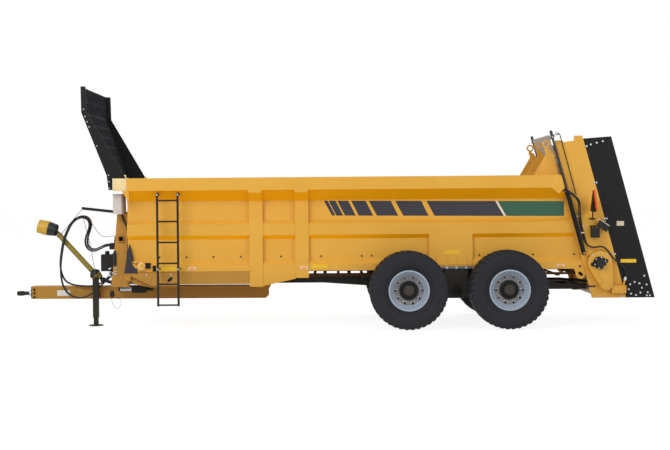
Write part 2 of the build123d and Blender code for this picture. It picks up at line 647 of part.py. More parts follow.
# Rear frame: leaning side plates, door guides, lower posts and cross members
with BuildPart() as rear_frame:
    frame_points = [lean_point(frame_front_foot_x, foot_z), lean_point(frame_front_foot_x, frame_top_z - 40),
                    lean_point(frame_joint_foot_x, frame_top_z + 30), lean_point(frame_joint_foot_x, foot_z)]
    side_channel(frame_points, frame_y - 50, frame_y, frame_sheet)
    guide_top_z = rail_bottom_z
    guide_points = [lean_point(body_rear_foot_x + clearance, foot_z), lean_point(frame_front_foot_x + 4, foot_z),
                    lean_point(frame_front_foot_x + 4, guide_top_z), lean_point(body_rear_foot_x + clearance, guide_top_z)]
    side_channel(guide_points, 850, frame_y, sheet)
    cap_x = lean_x(frame_joint_foot_x, frame_top_z + 30)
    block((cap_x - 160, cap_x - 12), (frame_y - 40, frame_y), (frame_top_z, frame_top_z + 92))
    # Lug and pin that carry the foot of the door ram
    ram_foot_x = (body_rear_foot_x + frame_front_foot_x) / 2
    ram_pin = (lean_x(ram_foot_x, ram_foot_z - 45), ram_foot_z - 45)
    rod((ram_pin[0], frame_y - 4, ram_pin[1]), (ram_pin[0], ram_y + 34, ram_pin[1]), 16)
    rod((ram_pin[0], frame_y - 4, ram_pin[1]), (ram_pin[0], frame_y + 30, ram_pin[1]), 32)
    # Hole for the conveyor's rear shaft
    rod((floor_shaft_rear_x, 800, floor_shaft_z), (floor_shaft_rear_x, 1000, floor_shaft_z), 34 + clearance,
        mode=Mode.SUBTRACT)
    both_sides(rear_frame)
    cross_half = frame_y - frame_sheet
    block((body_rear_foot_x, frame_front_foot_x), (-cross_half, cross_half), (foot_z + 60, foot_z + 170))
    block((body_rear_foot_x + 8, frame_front_foot_x - 8), (-860, 860), (foot_z + 68, foot_z + 162), mode=Mode.SUBTRACT)
    top_x = lean_x(frame_front_foot_x, frame_top_z - 90)
    block((top_x + 20, top_x + 130), (-cross_half, cross_half), (frame_top_z - 140, frame_top_z - 60))
keep(rear_frame, "rear_frame")

# Lifting eyes on gussets over the hopper's rear end, with the cross beam between them
eye_x_lift = 3852.0
eye_z_lift = 3202.0
gusset_points = [(3632, rail_top_z + clearance), (eye_x_lift - 6, 3020), (eye_x_lift - 20, 3110),
                 (eye_x_lift + 60, 3110), (3985, 3005), (4068, rail_top_z + clearance)]
gusset_y = 860.0
with BuildPart() as lifting_gussets:
    for y in (-gusset_y, 0, gusset_y):
        side_plate(gusset_points, y - 6, y + 6)
        rod((eye_x_lift, y - 12, eye_z_lift), (eye_x_lift, y + 12, eye_z_lift), 66)
        block((eye_x_lift - 28, eye_x_lift + 28), (y - 6, y + 6), (3080, eye_z_lift - 20))
        rod((eye_x_lift, y - 20, eye_z_lift), (eye_x_lift, y + 20, eye_z_lift), 40, mode=Mode.SUBTRACT)
    beam_half = rail_y - rail_lip - clearance
    block((3640, 4060), (-beam_half, beam_half), (2520, rail_top_z + 5))
    block((3648, 4052), (-beam_half, beam_half), (2510, rail_top_z - 5), mode=Mode.SUBTRACT)
keep(lifting_gussets, "lifting_gussets")

# Door rams: barrels fixed to the rear frame
barrel_bore = ram_rod_radius + 1
with BuildPart() as ram_barrels:
    low = (lean_x(ram_foot_x, ram_foot_z - 25), ram_y, ram_foot_z - 25)
    high = (lean_x(ram_foot_x, ram_joint_z), ram_y, ram_joint_z)
    rod(low, high, ram_barrel_radius)
    collar = (lean_x(ram_foot_x, ram_joint_z - 40), ram_y, ram_joint_z - 40)
    rod(collar, high, ram_barrel_radius + 6)
    bore_low = (lean_x(ram_foot_x, ram_foot_z + 40), ram_y, ram_foot_z + 40)
    bore_high = (lean_x(ram_foot_x, ram_joint_z + 5), ram_y, ram_joint_z + 5)
    rod((ram_pin[0], ram_y - 28, ram_pin[1]), (ram_pin[0], ram_y + 28, ram_pin[1]), 34)
    rod(bore_low, bore_high, barrel_bore, mode=Mode.SUBTRACT)
    rod((ram_pin[0], ram_y - 40, ram_pin[1]), (ram_pin[0], ram_y + 40, ram_pin[1]), 16 + clearance, mode=Mode.SUBTRACT)
    both_sides(ram_barrels)
keep(ram_barrels, "door_ram_barrels")

# Slurry door, shown raised: leaning sheet with cross ribs and the top bar that the rams push
door_front_foot_x = body_rear_foot_x + 22
door_top_z = door_bottom_z + door_height * math.cos(math.radians(lean_angle))
with BuildPart() as door:
    sheet_points = [lean_point(door_front_foot_x, door_bottom_z), lean_point(door_front_foot_x + door_sheet, door_bottom_z),
                    lean_point(door_front_foot_x + door_sheet, door_top_z), lean_point(door_front_foot_x, door_top_z)]
    side_plate(sheet_points, -door_half_width, door_half_width)
    for z in (door_bottom_z + 10, door_bottom_z + 420, door_bottom_z + 840, door_top_z - 70):
        rib_points = [lean_point(door_front_foot_x + door_sheet - 1, z), lean_point(door_front_foot_x + door_depth, z),
                      lean_point(door_front_foot_x + door_depth, z + 60),
                      lean_point(door_front_foot_x + door_sheet - 1, z + 60)]
        side_plate(rib_points, -door_half_width + 20, door_half_width - 20)
    bar_z = door_top_z - 40
    rod((lean_x(ram_foot_x, bar_z), -ram_y - 30, bar_z), (lean_x(ram_foot_x, bar_z), ram_y + 30, bar_z), 18)
keep(door, "slurry_door")

with BuildPart() as ram_rods:
    rod_low = (lean_x(ram_foot_x, ram_joint_z - 110), ram_y, ram_joint_z - 110)
    rod_high = (lean_x(ram_foot_x, bar_z + 30), ram_y, bar_z + 30)
    rod(rod_low, rod_high, ram_rod_radius)
    rod((lean_x(ram_foot_x, bar_z), ram_y - 24, bar_z), (lean_x(ram_foot_x, bar_z), ram_y + 24, bar_z), 34)
    cap_low = (lean_x(ram_foot_x, bar_z + 30), ram_y, bar_z + 30)
    cap_high = (lean_x(ram_foot_x, bar_z + 110), ram_y, bar_z + 110)
    rod(cap_low, cap_high, 26)
    rod((lean_x(ram_foot_x, bar_z), ram_y - 40, bar_z), (lean_x(ram_foot_x, bar_z), ram_y + 40, bar_z),
        18 + clearance, mode=Mode.SUBTRACT)
    both_sides(ram_rods)
keep(ram_rods, "door_ram_rods")

# Thin rod that shows the driver how far the door is open
indicator_foot_x = 4845.0
indicator_y = 955.0
indicator_low_z = 2315.0
with BuildPart() as indicator:
    top_z = bar_z + 50
    rod((lean_x(indicator_foot_x, indicator_low_z), -indicator_y, indicator_low_z),
        (lean_x(indicator_foot_x, top_z), -indicator_y, top_z), 8)
    bar_x = lean_x(ram_foot_x, bar_z)
    rod((bar_x, -indicator_y, bar_z + 18 + clearance + 10), (lean_x(indicator_foot_x, top_z), -indicator_y, top_z), 7)
    rod((bar_x, -indicator_y, bar_z + 18 + clearance), (bar_x, -indicator_y, bar_z + 34), 7)
    rod((lean_x(indicator_foot_x, top_z), -indicator_y, top_z),
        (lean_x(indicator_foot_x, top_z) - 70, -indicator_y, top_z + 30), 7)
keep(indicator, "door_indicator")

# Black side panels of the beater housing
with BuildPart() as beater_panels:
    panel_points = [lean_point(frame_joint_foot_x + clearance, foot_z),
                    lean_point(frame_joint_foot_x + clearance, frame_top_z + 40),
                    lean_point(panel_rear_foot_x, panel_top_z), lean_point(panel_rear_foot_x, foot_z)]
    side_channel(panel_points, frame_y - 50, frame_y, frame_sheet)
    plate_points = [lean_point(frame_joint_foot_x + 20, frame_top_z - 90), lean_point(frame_joint_foot_x + 20, frame_top_z + 30),
                    lean_point(frame_joint_foot_x + 330, frame_top_z + 62), lean_point(frame_joint_foot_x + 330, frame_top_z - 58)]
    side_plate(plate_points, frame_y - 1, frame_y + 8)
    both_sides(beater_panels)
keep(beater_panels, "beater_side_panels")


def beater_point(z, y=0.0):
    """A point on a beater's leaning axis at a height."""
    return (lean_x(beater_foot_x, z), y, z)


# Beam across the top that holds the beaters' upper bearings
top_beam_z = 3190.0
beater_lean = Vector(-math.sin(math.radians(lean_angle)), 0, math.cos(math.radians(lean_angle)))
with BuildPart() as top_beam:
    beam_half = frame_y - frame_sheet - clearance
    centre_x = lean_x(beater_foot_x, top_beam_z) + 37
    block((centre_x - 90, centre_x + 90), (-beam_half, beam_half), (top_beam_z - 70, top_beam_z + 70))
    block((centre_x - 80, centre_x + 80), (-beam_half, beam_half), (top_beam_z - 60, top_beam_z + 60), mode=Mode.SUBTRACT)
    for y in (-beater_y, beater_y):
        rod(beater_point(beater_top_z + 22, y), beater_point(top_beam_z - 60, y), 85)
        rod(beater_point(beater_top_z - 40, y), beater_point(top_beam_z - 65, y), 30 + clearance, mode=Mode.SUBTRACT)
keep(top_beam, "beater_top_beam")

# Beam across the bottom: a round tube flanged to the panels, with a gearbox under each beater
with BuildPart() as gearbox_beam:
    beam_half = frame_y - frame_sheet - clearance
    rod((gearbox_beam_x, -beam_half, gearbox_beam_z), (gearbox_beam_x, beam_half, gearbox_beam_z), 85)
    for y in (-beam_half, beam_half - 16):
        rod((gearbox_beam_x, y, gearbox_beam_z), (gearbox_beam_x, y + 16, gearbox_beam_z), 145)
    for y in (-beater_y, beater_y):
        with Locations(Location(beater_point(gearbox_beam_z, y), (0, -lean_angle, 0))):
            Box(270, 250, 220)
            with Locations((0, 0, 125)):
                Cylinder(95, 50)
    block((gearbox_beam_x - 150, gearbox_beam_x + 110), (-105, 105), (gearbox_beam_z - 100, gearbox_beam_z + 110))
keep(gearbox_beam, "beater_gearboxes")

# Beaters: a core tube, a stepped spiral of cutting segments and the spreading disc at the foot
segment_angle = 45.0
segments_per_turn = round(360 / segment_angle)
beater_length = (beater_top_z - beater_bottom_z) / math.cos(math.radians(lean_angle))
disc_height = 110.0
with BuildPart() as left_hand_beater:
    Cylinder(beater_core_radius, beater_length, align=(Align.CENTER, Align.CENTER, Align.MIN))
    with Locations((0, 0, -68)):
        Cylinder(40, 73, align=(Align.CENTER, Align.CENTER, Align.MIN))
    with Locations((0, 0, beater_length - 5)):
        Cylinder(30, 80, align=(Align.CENTER, Align.CENTER, Align.MIN))
    Cylinder(beater_radius, 12, align=(Align.CENTER, Align.CENTER, Align.MIN))
    # Throwing paddles on the disc
    with PolarLocations(0, 4):
        with Locations((235, 0, 70)):
            Box(270, 12, disc_height)
    flight_low = 230.0
    segment_rise = flight_pitch / segments_per_turn
    segment_total = int((beater_length - flight_low - 60) / segment_rise)
    helix_tilt = math.degrees(math.atan(flight_pitch / (2 * math.pi * beater_radius * 0.6)))
    with BuildSketch() as segment:
        with BuildLine():
            half_segment = math.radians(segment_angle / 2) * 1.06
            inner_r, outer_r = beater_core_radius - 12, beater_radius - 70
            Polyline(
                (inner_r * math.cos(half_segment), -inner_r * math.sin(half_segment)),
                (outer_r * math.cos(half_segment), -outer_r * math.sin(half_segment)),
                (outer_r, 0),
                (outer_r * math.cos(half_segment), outer_r * math.sin(half_segment)),
                (inner_r * math.cos(half_segment), inner_r * math.sin(half_segment)),
                close=True,
            )
        make_face()
        with Locations((beater_radius - 50, 0)):
            Rectangle(90, 60)
    blade = extrude(segment.sketch, amount=10, mode=Mode.PRIVATE)
    blades = []
    for i in range(segment_total):
        tilt = Location((0, 0, flight_low + i * segment_rise), (0, 0, i * segment_angle)) * Location((0, 0, 0), (helix_tilt, 0, 0))
        blades.append(blade.moved(tilt))
    add(blades)

beater_place = Location((lean_x(beater_foot_x, beater_bottom_z), 0, beater_bottom_z), (0, -lean_angle, 0))
for side, sign in (("left", -1), ("right", 1)):
    with BuildPart() as beater:
        if sign > 0:
            turned = left_hand_beater.part.moved(beater_place)
            add(turned.moved(Location((0, beater_y, 0))))
        else:
            handed = mirror(left_hand_beater.part, about=Plane.XZ, mode=Mode.PRIVATE)
            turned = handed.moved(beater_place)
            add(turned.moved(Location((0, -beater_y, 0))))
    keep(beater, f"beater_{side}")

# Gear case that drives the conveyor, with its hydraulic motor
case_inner_y = frame_y + clearance
case_outer_y = 1045.0
with BuildPart() as gear_case:
    with BuildSketch(Plane.XZ.offset(case_inner_y)) as egg:
        with Locations((4757, 1109)):
            Circle(208)
        with Locations((4868, 745)):
            Circle(113)
        make_hull()
    extrude(amount=case_outer_y - case_inner_y)
    for x, z, radius in ((4826, 898, 92), (4853, 750, 78)):
        rod((x, -case_outer_y - 12, z), (x, -case_outer_y + 2, z), radius)
    block((4972, 5226), (-frame_y - 80, -frame_y - clearance), (575, 712))
    rod((5180, -frame_y - 45, 700), (5220, -frame_y - 45, 850), 17)
    rod((floor_shaft_rear_x, -frame_y - 95, floor_shaft_z), (floor_shaft_rear_x, -frame_y + 50, floor_shaft_z),
        34 + clearance, mode=Mode.SUBTRACT)
keep(gear_case, "floor_gearcase")

with BuildPart() as floor_motor:
    motor_x, motor_z = 4744, 1118
    rod((motor_x, -case_outer_y - clearance, motor_z), (motor_x, -case_outer_y - 60, motor_z), 108)
    rod((motor_x, -case_outer_y - 55, motor_z), (motor_x, -case_outer_y - 130, motor_z), 78)
    with BuildSketch(Plane.XZ.offset(case_outer_y + clearance)) as flange:
        with Locations((motor_x - 118, motor_z - 30), (motor_x + 118, motor_z + 30)):
            Circle(34)
        make_hull()
    extrude(flange.sketch, amount=24)
keep(floor_motor, "floor_motor")

# Headboard: side plates with a front flange, and the grille between them
with BuildPart() as headboard_plates:
    front_line = [(-4286, headboard_top_z), (-4280, headboard_bend_z), (-3850, 2704), (-3822, 2453)]
    side_plate([*front_line, (rail_front_x - clearance, 2453), (rail_front_x - clearance, rail_top_z + clearance),
                (-3516, rail_top_z + clearance), (-4190, headboard_bend_z + 10), (-4200, headboard_top_z)],
               rail_y - sheet, rail_y)
    back_line = [(-3814, 2453), (-3842, 2706), (-4272, headboard_bend_z + 2), (-4278, headboard_top_z)]
    side_plate([*front_line, *back_line], rail_y - 60, rail_y)
    both_sides(headboard_plates)
keep(headboard_plates, "headboard_plates")

grille_half = rail_y - 60 - clearance
with BuildPart() as grille:
    grille_line = [(-4276, headboard_top_z - 4), (-4270, headboard_bend_z + 2), (-3838, 2690)]
    for (x0, z0), (x1, z1) in zip(grille_line, grille_line[1:]):
        length = math.hypot(x1 - x0, z1 - z0)
        down = Vector(x1 - x0, 0, z1 - z0).normalized()
        face = Plane(origin=((x0 + x1) / 2, 0, (z0 + z1) / 2), x_dir=(0, 1, 0), z_dir=down.cross(Vector(0, 1, 0)))
        with BuildSketch(face) as panel:
            Rectangle(2 * grille_half, length)
            opening_count = 6 if length > 1000 else 3
            cell_height = (length - 60) / opening_count
            cell_width = (2 * grille_half - 60) / 12
            with GridLocations(cell_width, cell_height, 12, opening_count):
                Rectangle(cell_width - 16, cell_height - 16, mode=Mode.SUBTRACT)
        extrude(panel.sketch, amount=6)
keep(grille, "headboard_grille")


def flare_y(z):
    """How far out a piece seated on the flared part of the hopper's side reaches in, at a height."""
    share = (z - flare_bottom_z) / (rail_bottom_z - flare_bottom_z)
    return wall_y + share * (rail_y - 26 - wall_y) + 2 * clearance


# Ladder on the left side
with BuildPart() as ladder:
    ladder_y = -1175
    for x in (-2970, -2614):
        block((x - 19, x + 19), (ladder_y - 8, ladder_y + 8), (420, 2400))
        cross_section([(ladder_y + 6, 2345), (ladder_y + 6, 2385), (-flare_y(2385), 2385), (-flare_y(2345), 2345)],
                      x - 13, x + 13)
        rod((x, ladder_y + 6, 1066), (x, -sill_y - clearance, 1066), 13)
    for i in range(6):
        z = 442 + i * 364.4
        rod((-2970, ladder_y, z), (-2614, ladder_y, z), 15)
keep(ladder, "ladder")

# Control cabinet on the left front upright
with BuildPart() as cabinet:
    block((-3777, -3626), (-980, -520), (2031 + clearance, 2387))
    fillet(cabinet.edges().filter_by(Axis.Z), 12)
keep(cabinet, "control_cabinet")

# Hose rack ahead of the uprights: plate, manifold, couplers and accumulator box
with BuildPart() as hose_rack:
    block((-3870, -3862.3), (-430, 200), (front_foot_z + 85, 1560))
    block((-3862.3, -3733.3), (-430, -422), (1550 - 20, 1560 + 60))
    block((-3862.3, -3733.3), (192, 200), (1550 - 20, 1560 + 60))
    block((-4000, -3868), (-200, 60), (1378, 1490))
    block((-4127, -3884), (-350, -100), (990, 1292))
    block((-3886, -3868), (-260, -190), (1050, 1240))
    rod((-4034, -225, 1290), (-4034, -225, 1352), 40)
    for i in range(2):
        for j in range(3):
            z = 950 + j * 62
            rod((-3868, -400 + i * 50, z), (-3930, -400 + i * 50, z - 25), 17)
keep(hose_rack, "hose_rack")

with BuildPart() as hose_arm:
    block((-3733.3, -3641), (-60, 60), (1642 + clearance, 2060))
    arm_start, arm_end = (-3735, 0, 2040), (-4534, 0, 2131)
    arm_axis = Vector(*arm_end) - Vector(*arm_start)
    with BuildSketch(Plane(origin=arm_start, x_dir=(0, 1, 0), z_dir=arm_axis)) as tube_end:
        Rectangle(50, 50)
    extrude(tube_end.sketch, amount=arm_axis.length)
    rod((-4507, 42, 2110), (-4507, 42, 1922), 8)
    rod((-4507, 48, 1930), (-4507, -60, 1930), 8)
    rod((-4507, -54, 1924), (-4507, -54, 1985), 8)
    rod((-4507, 20, 2118), (-4507, 48, 2118), 9)
keep(hose_arm, "hose_arm")

# Inline filter and valve on the drawbar's left side
with BuildPart() as valve:
    valve_y = -drawbar_half_width - 45
    rod((-3848, valve_y, 646), (-3590, valve_y, 646), 33)
    block((-3594, -3340), (valve_y - 45, -drawbar_half_width - clearance), (585, 705))
    rod((-3342, valve_y, 646), (-3213, valve_y, 646), 30)
keep(valve, "inline_valve")

# PTO shaft parked on its chain, with its guards
pto_high = Vector(-4997, 0, 1687)
pto_low = Vector(-4317, 0, 931)
pto_axis = (pto_low - pto_high).normalized()
with BuildPart() as pto_shaft:
    rod(tuple(pto_high), tuple(pto_low), pto_tube_radius)
    joint_low = Vector(-4160, 0, 810)
    rod(tuple(pto_low - pto_axis * 5), tuple(joint_low), 28)
    with Locations(joint_low):
        Sphere(52)
    input_end = Vector(-4019.6, 0, driveline_z + 3)
    rod(tuple(joint_low), tuple(input_end), 30)
    joint_high = pto_high - pto_axis * 70
    rod(tuple(pto_high + pto_axis * 5), tuple(joint_high), 28)
    with Locations(joint_high):
        Sphere(52)
    yoke_axis = Vector(-0.97, 0, 0.24).normalized()
    yoke_end = joint_high + yoke_axis * 210
    rod(tuple(joint_high), tuple(yoke_end), 34)
    rod(tuple(yoke_end - yoke_axis * 80), tuple(yoke_end + yoke_axis * 5), 17.5, mode=Mode.SUBTRACT)
keep(pto_shaft, "pto_shaft")

with BuildPart() as pto_guards:
    # Columns: distance from the joint along the bell, radius
    upper_bell = [(-30, 98), (40, 118), (150, 134), (300, 122), (300, 112), (150, 124), (72, 113), (72, 34 + clearance),
                  (60, 34 + clearance), (60, 110), (40, 108), (-30, 88)]
    # Columns: distance from the tube's end along it, radius
    lower_bell = [(-90, 56), (-60, 56), (0, 100), (50, 104), (130, 82), (130, 74), (50, 94), (0, 90),
                  (-60, pto_tube_radius + clearance), (-90, pto_tube_radius + clearance)]
    for origin, axis, profile in ((joint_high, yoke_axis, upper_bell), (pto_low, pto_axis, lower_bell)):
        with BuildSketch(Plane(origin=origin, x_dir=axis, z_dir=(0, 1, 0))) as bell:
            with BuildLine():
                Polyline(*profile, close=True)
            make_face()
        revolve(bell.sketch, axis=Axis(origin, axis))
keep(pto_guards, "pto_guards")

with BuildPart() as pto_chain:
    rod((-4520, -36, 2122), (-4922, -pto_tube_radius - 2, 1650), 5)
    rod((-4520, -25.3, 2122), (-4520, -41, 2122), 9)
    ring_centre = pto_high + pto_axis * 60
    collar_plane = Plane(origin=ring_centre, z_dir=pto_axis)
    with BuildSketch(collar_plane) as collar_ring:
        Circle(pto_tube_radius + 9)
        Circle(pto_tube_radius + clearance, mode=Mode.SUBTRACT)
    extrude(collar_ring.sketch, amount=20)
keep(pto_chain, "pto_chain")

# Drive line under the floor, in carrier bearings
with BuildPart() as driveline:
    rod((-3990, 0, driveline_z), (4250, 0, driveline_z), 32)
    rod((4240, 0, driveline_z), (gearbox_beam_x - 154, 0, gearbox_beam_z + 30), 30)
    for x, radius in ((-3560, 40), (-2260, 40), (3340, 54.7)):
        rod((x - 25, 0, driveline_z), (x + 25, 0, driveline_z), radius - clearance)
    rod((-4010, 0, driveline_z), (-3900, 0, driveline_z), 50)
keep(driveline, "driveline")

# Slow-vehicle sign and lamps on the rear frame
sign_y = 1190.0
with BuildPart() as slow_sign:
    with BuildSketch(Plane.YZ.offset(4606)) as triangle:
        with BuildLine():
            Polyline((-sign_y - 215, 2010), (-sign_y - 235, 2050), (-sign_y - 30, 2385), (-sign_y + 30, 2385),
                     (-sign_y + 235, 2050), (-sign_y + 215, 2010), close=True)
        make_face()
    extrude(triangle.sketch, amount=6)
    block((4590, 4606), (-sign_y - 20, -sign_y + 20), (1880, 2200))
    block((4590, 4660), (-sign_y + 20, -frame_y - clearance), (1880, 1900))
    block((4590, 4606), (-sign_y - 20, -sign_y + 25), (1870, 1900))
keep(slow_sign, "slow_vehicle_sign")

with BuildPart() as lamps:
    block((4600, 4664), (frame_y + clearance, 1010), (1750, 1766))
    block((4600, 4740), (985, 1110), (1556, 1735))
    block((4600, 4616), (1000, 1010), (1700, 1766))
    with Locations(Location((4812, 1060, 1768), (0, 32, 0))):
        Box(205, 30, 140)
    rod((4660, 1010, 1758), (4760, 1050, 1758), 12)
    both_sides(lamps)
keep(lamps, "rear_lamps")

# Side markers on the sills
with BuildPart() as markers:
    for x, seat in ((-2410, sill_y), (-431, post_y), (4090, sill_y)):
        block((x - 45, x + 45), (seat + clearance, seat + 18), (1040, 1078))
    both_sides(markers)
keep(markers, "side_markers")

# Guard plates at the front corners of the body
with BuildPart() as corner_guards:
    side_plate([(-3497, 1506), (-3553, 1319), (-3580, 998), (-3465, 990), (-3465, 1185), (-3440, 1239)],
               sill_y + clearance, sill_y + 6)
    both_sides(corner_guards)
keep(corner_guards, "corner_guards")


def corner_radii(points):
    """The largest arc at each corner of a cord's route that its two runs allow."""
    radii = []
    for before, corner, after in zip(points, points[1:], points[2:]):
        into, out = Vector(*corner) - Vector(*before), Vector(*after) - Vector(*corner)
        turn = math.radians(into.get_angle(out))
        radii.append(0.45 * min(into.length, out.length) / math.tan(turn / 2))
    return radii


hose_radius = 13.0
# Routes as (x, y, z), from the manifold over the arm's hook and down to the couplers
hose_routes = {
    "hose_low": [
        (-4000, -130, 1448), (-4090, -112, 1436), (-4190, -92, 1384), (-4290, -74, 1340), (-4385, -58, 1350),
        (-4456, -46, 1412), (-4482, -36, 1513), (-4464, -30, 1620), (-4420, -28, 1724), (-4394, -28, 1829),
        (-4424, -28, 1920), (-4509, -28, 1964), (-4616, -30, 1938), (-4713, -44, 1859), (-4784, -70, 1718),
        (-4848, -104, 1542), (-4882, -140, 1323), (-4906, -172, 1090), (-4896, -190, 870), (-4851, -198, 683),
        (-4747, -202, 554), (-4606, -204, 492), (-4466, -204, 500), (-4348, -204, 560), (-4240, -206, 650),
        (-4140, -230, 740), (-4040, -300, 820), (-3950, -380, 890), (-3926, -400, 930),
    ],
    "hose_high": [
        (-4000, -95, 1466), (-4090, -80, 1466), (-4196, -60, 1416), (-4292, -42, 1372), (-4372, -26, 1384),
        (-4428, -14, 1432), (-4446, -6, 1520), (-4432, 0, 1620), (-4392, 0, 1724), (-4364, 0, 1836),
        (-4402, 0, 1945), (-4505, 0, 1994), (-4630, -2, 1966), (-4738, -14, 1872), (-4812, -38, 1722),
        (-4876, -70, 1542), (-4908, -100, 1323), (-4926, -128, 1110), (-4900, -142, 950), (-4830, -150, 800),
        (-4698, -160, 735), (-4523, -168, 712), (-4347, -172, 706), (-4200, -176, 740), (-4080, -230, 820),
        (-3975, -320, 920), (-3928, -350, 990),
    ],
}
for label, route in hose_routes.items():
    radii = corner_radii(route)
    print(label, "smallest radius", round(min(radii)))
    with BuildPart() as hose:
        with BuildLine() as path:
            FilletPolyline(*route, radius=radii)
        with BuildSketch(Plane(origin=path.line @ 0, z_dir=path.line % 0)):
            Circle(hose_radius)
        sweep(path=path.line)
    length = sum(edge.length for edge in path.edges())
    print(label, "volume share", round(hose.part.volume / (math.pi * hose_radius**2 * length), 4))
    keep(hose, label)
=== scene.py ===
# Twin-axle manure spreader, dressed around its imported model
import math

import bmesh
import bpy
from mathutils import Matrix, Vector


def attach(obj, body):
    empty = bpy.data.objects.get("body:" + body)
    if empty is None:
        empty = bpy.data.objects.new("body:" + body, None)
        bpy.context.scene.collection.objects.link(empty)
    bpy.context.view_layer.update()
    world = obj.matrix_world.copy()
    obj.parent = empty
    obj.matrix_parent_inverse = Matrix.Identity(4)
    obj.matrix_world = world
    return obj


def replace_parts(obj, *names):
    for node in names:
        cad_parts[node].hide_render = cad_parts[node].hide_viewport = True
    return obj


bl_info = {
    "name": "Manure spreader",
    "version": (1, 0, 0),
    "blender": (4, 5, 0),
    "location": "View3D > Sidebar > Spreader",
    "description": "Builds the looks of a twin-axle manure spreader around its packed model",
    "category": "Object",
}

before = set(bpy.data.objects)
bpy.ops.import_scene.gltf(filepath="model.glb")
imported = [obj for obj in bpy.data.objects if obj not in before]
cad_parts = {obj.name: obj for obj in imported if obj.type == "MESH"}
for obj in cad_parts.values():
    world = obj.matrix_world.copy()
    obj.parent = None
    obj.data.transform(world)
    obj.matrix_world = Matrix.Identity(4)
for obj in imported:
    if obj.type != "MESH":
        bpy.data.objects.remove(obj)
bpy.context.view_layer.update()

# The machine's left side faces the camera, at -Y. All lengths are in metres
SIDES = {"left": -1, "right": 1}
# Outer faces of the hopper's wall, sill and rail, and of the rear frame, from the middle
WALL_Y = 0.83
SILL_Y = 0.9
RAIL_Y = 1.13
FRAME_Y = 0.92
# Each axle's x, and each wheel's x and side
AXLES = {"front": 1.385, "rear": 3.115}
WHEELS = {f"{axle}_{side}": (x, sign) for axle, x in AXLES.items() for side, sign in SIDES.items()}
AXLE_Z = 0.682
TYRE_MID_Y = 1.24
# A wheel's own axes, in which its pieces are modelled: its middle, and the way that its outside faces
HUB = (0, 0, 0)
OUTWARD = (0, 1, 0)
# Camera: focal length and width of the picture in pixels, width of the sensor in millimetres
FOCAL_PX = 1172
WIDTH_PX = 670
SENSOR_MM = 36


def linear(code):
    """An sRGB hex colour as a linear one with alpha."""
    channels = [int(code[i : i + 2], 16) / 255 for i in (0, 2, 4)]
    return tuple(c / 12.92 if c <= 0.04045 else ((c + 0.055) / 1.055) ** 2.4 for c in channels) + (1.0,)


def colour_setting(name, code, description):
    """A colour that a user may change."""
    return bpy.props.FloatVectorProperty(
        name=name, description=description, default=linear(code), size=4, min=0, max=1, subtype="COLOR"
    )


def length_setting(name, default, least, most, description):
    """A length that a user may change."""
    return bpy.props.FloatProperty(
        name=name, description=description, default=default, min=least, max=most, unit="LENGTH"
    )


class SpreaderColours(bpy.types.PropertyGroup):
    """Paint and rubber colours."""

    body: colour_setting("Body", "DDA238", "Yellow enamel on the hopper and the rear frame")
    body_light: colour_setting("Body, light", "E8B24A", "The same enamel where the coat is thick")
    dark: colour_setting("Chassis", "1F1D1A", "Black paint on the chassis and running gear")
    panel: colour_setting("Rear panels", "151518", "Black powder coat on the rear panels and the headboard")
    rim: colour_setting("Wheel discs", "7C7E81", "Silver-grey wheel paint")
    door: colour_setting("Slurry door", "B9B2A4", "Pale grey paint on the door")
    stripe: colour_setting("Stripes", "32323A", "Charcoal stripes on the side")
    green: colour_setting("Side band", "2F5A46", "Green band at the end of the stripes")


class SpreaderSizes(bpy.types.PropertyGroup):
    """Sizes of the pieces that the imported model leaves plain."""

    lug_pairs: bpy.props.IntProperty(
        name="Shoulder lugs", description="Lugs round each shoulder of a tyre", default=40, min=12, max=60
    )
    bolt_across: length_setting("Bolt head", 0.03, 0.01, 0.06, "Across the flats of the common bolts")
    hose_diameter: length_setting("Hose", 0.026, 0.01, 0.05, "Outside diameter of a hydraulic hose")
    decal_thickness: length_setting("Decal", 0.0012, 0.0002, 0.005, "Thickness of the side stripes")


def add_node(tree, kind, values=(), links=(), **settings):
    """Add a node with its settings, its sockets' values and its links."""
    node = tree.nodes.new(kind)
    for key, value in settings.items():
        setattr(node, key, value)
    for socket, value in dict(values).items():
        node.inputs[socket].default_value = value
    for socket, (source, output) in dict(links).items():
        tree.links.new(source.outputs[output], node.inputs[socket])
    return node


def blank_material(name):
    """A new material with only its shader and output, and its object coordinates."""
    material = bpy.data.materials.new(name)
    material.use_nodes = True
    tree = material.node_tree
    tree.nodes.clear()
    place = add_node(tree, "ShaderNodeTexCoord")
    shader = add_node(tree, "ShaderNodeBsdfPrincipled")
    add_node(tree, "ShaderNodeOutputMaterial", links={"Surface": (shader, "BSDF")})
    return material, tree, place, shader


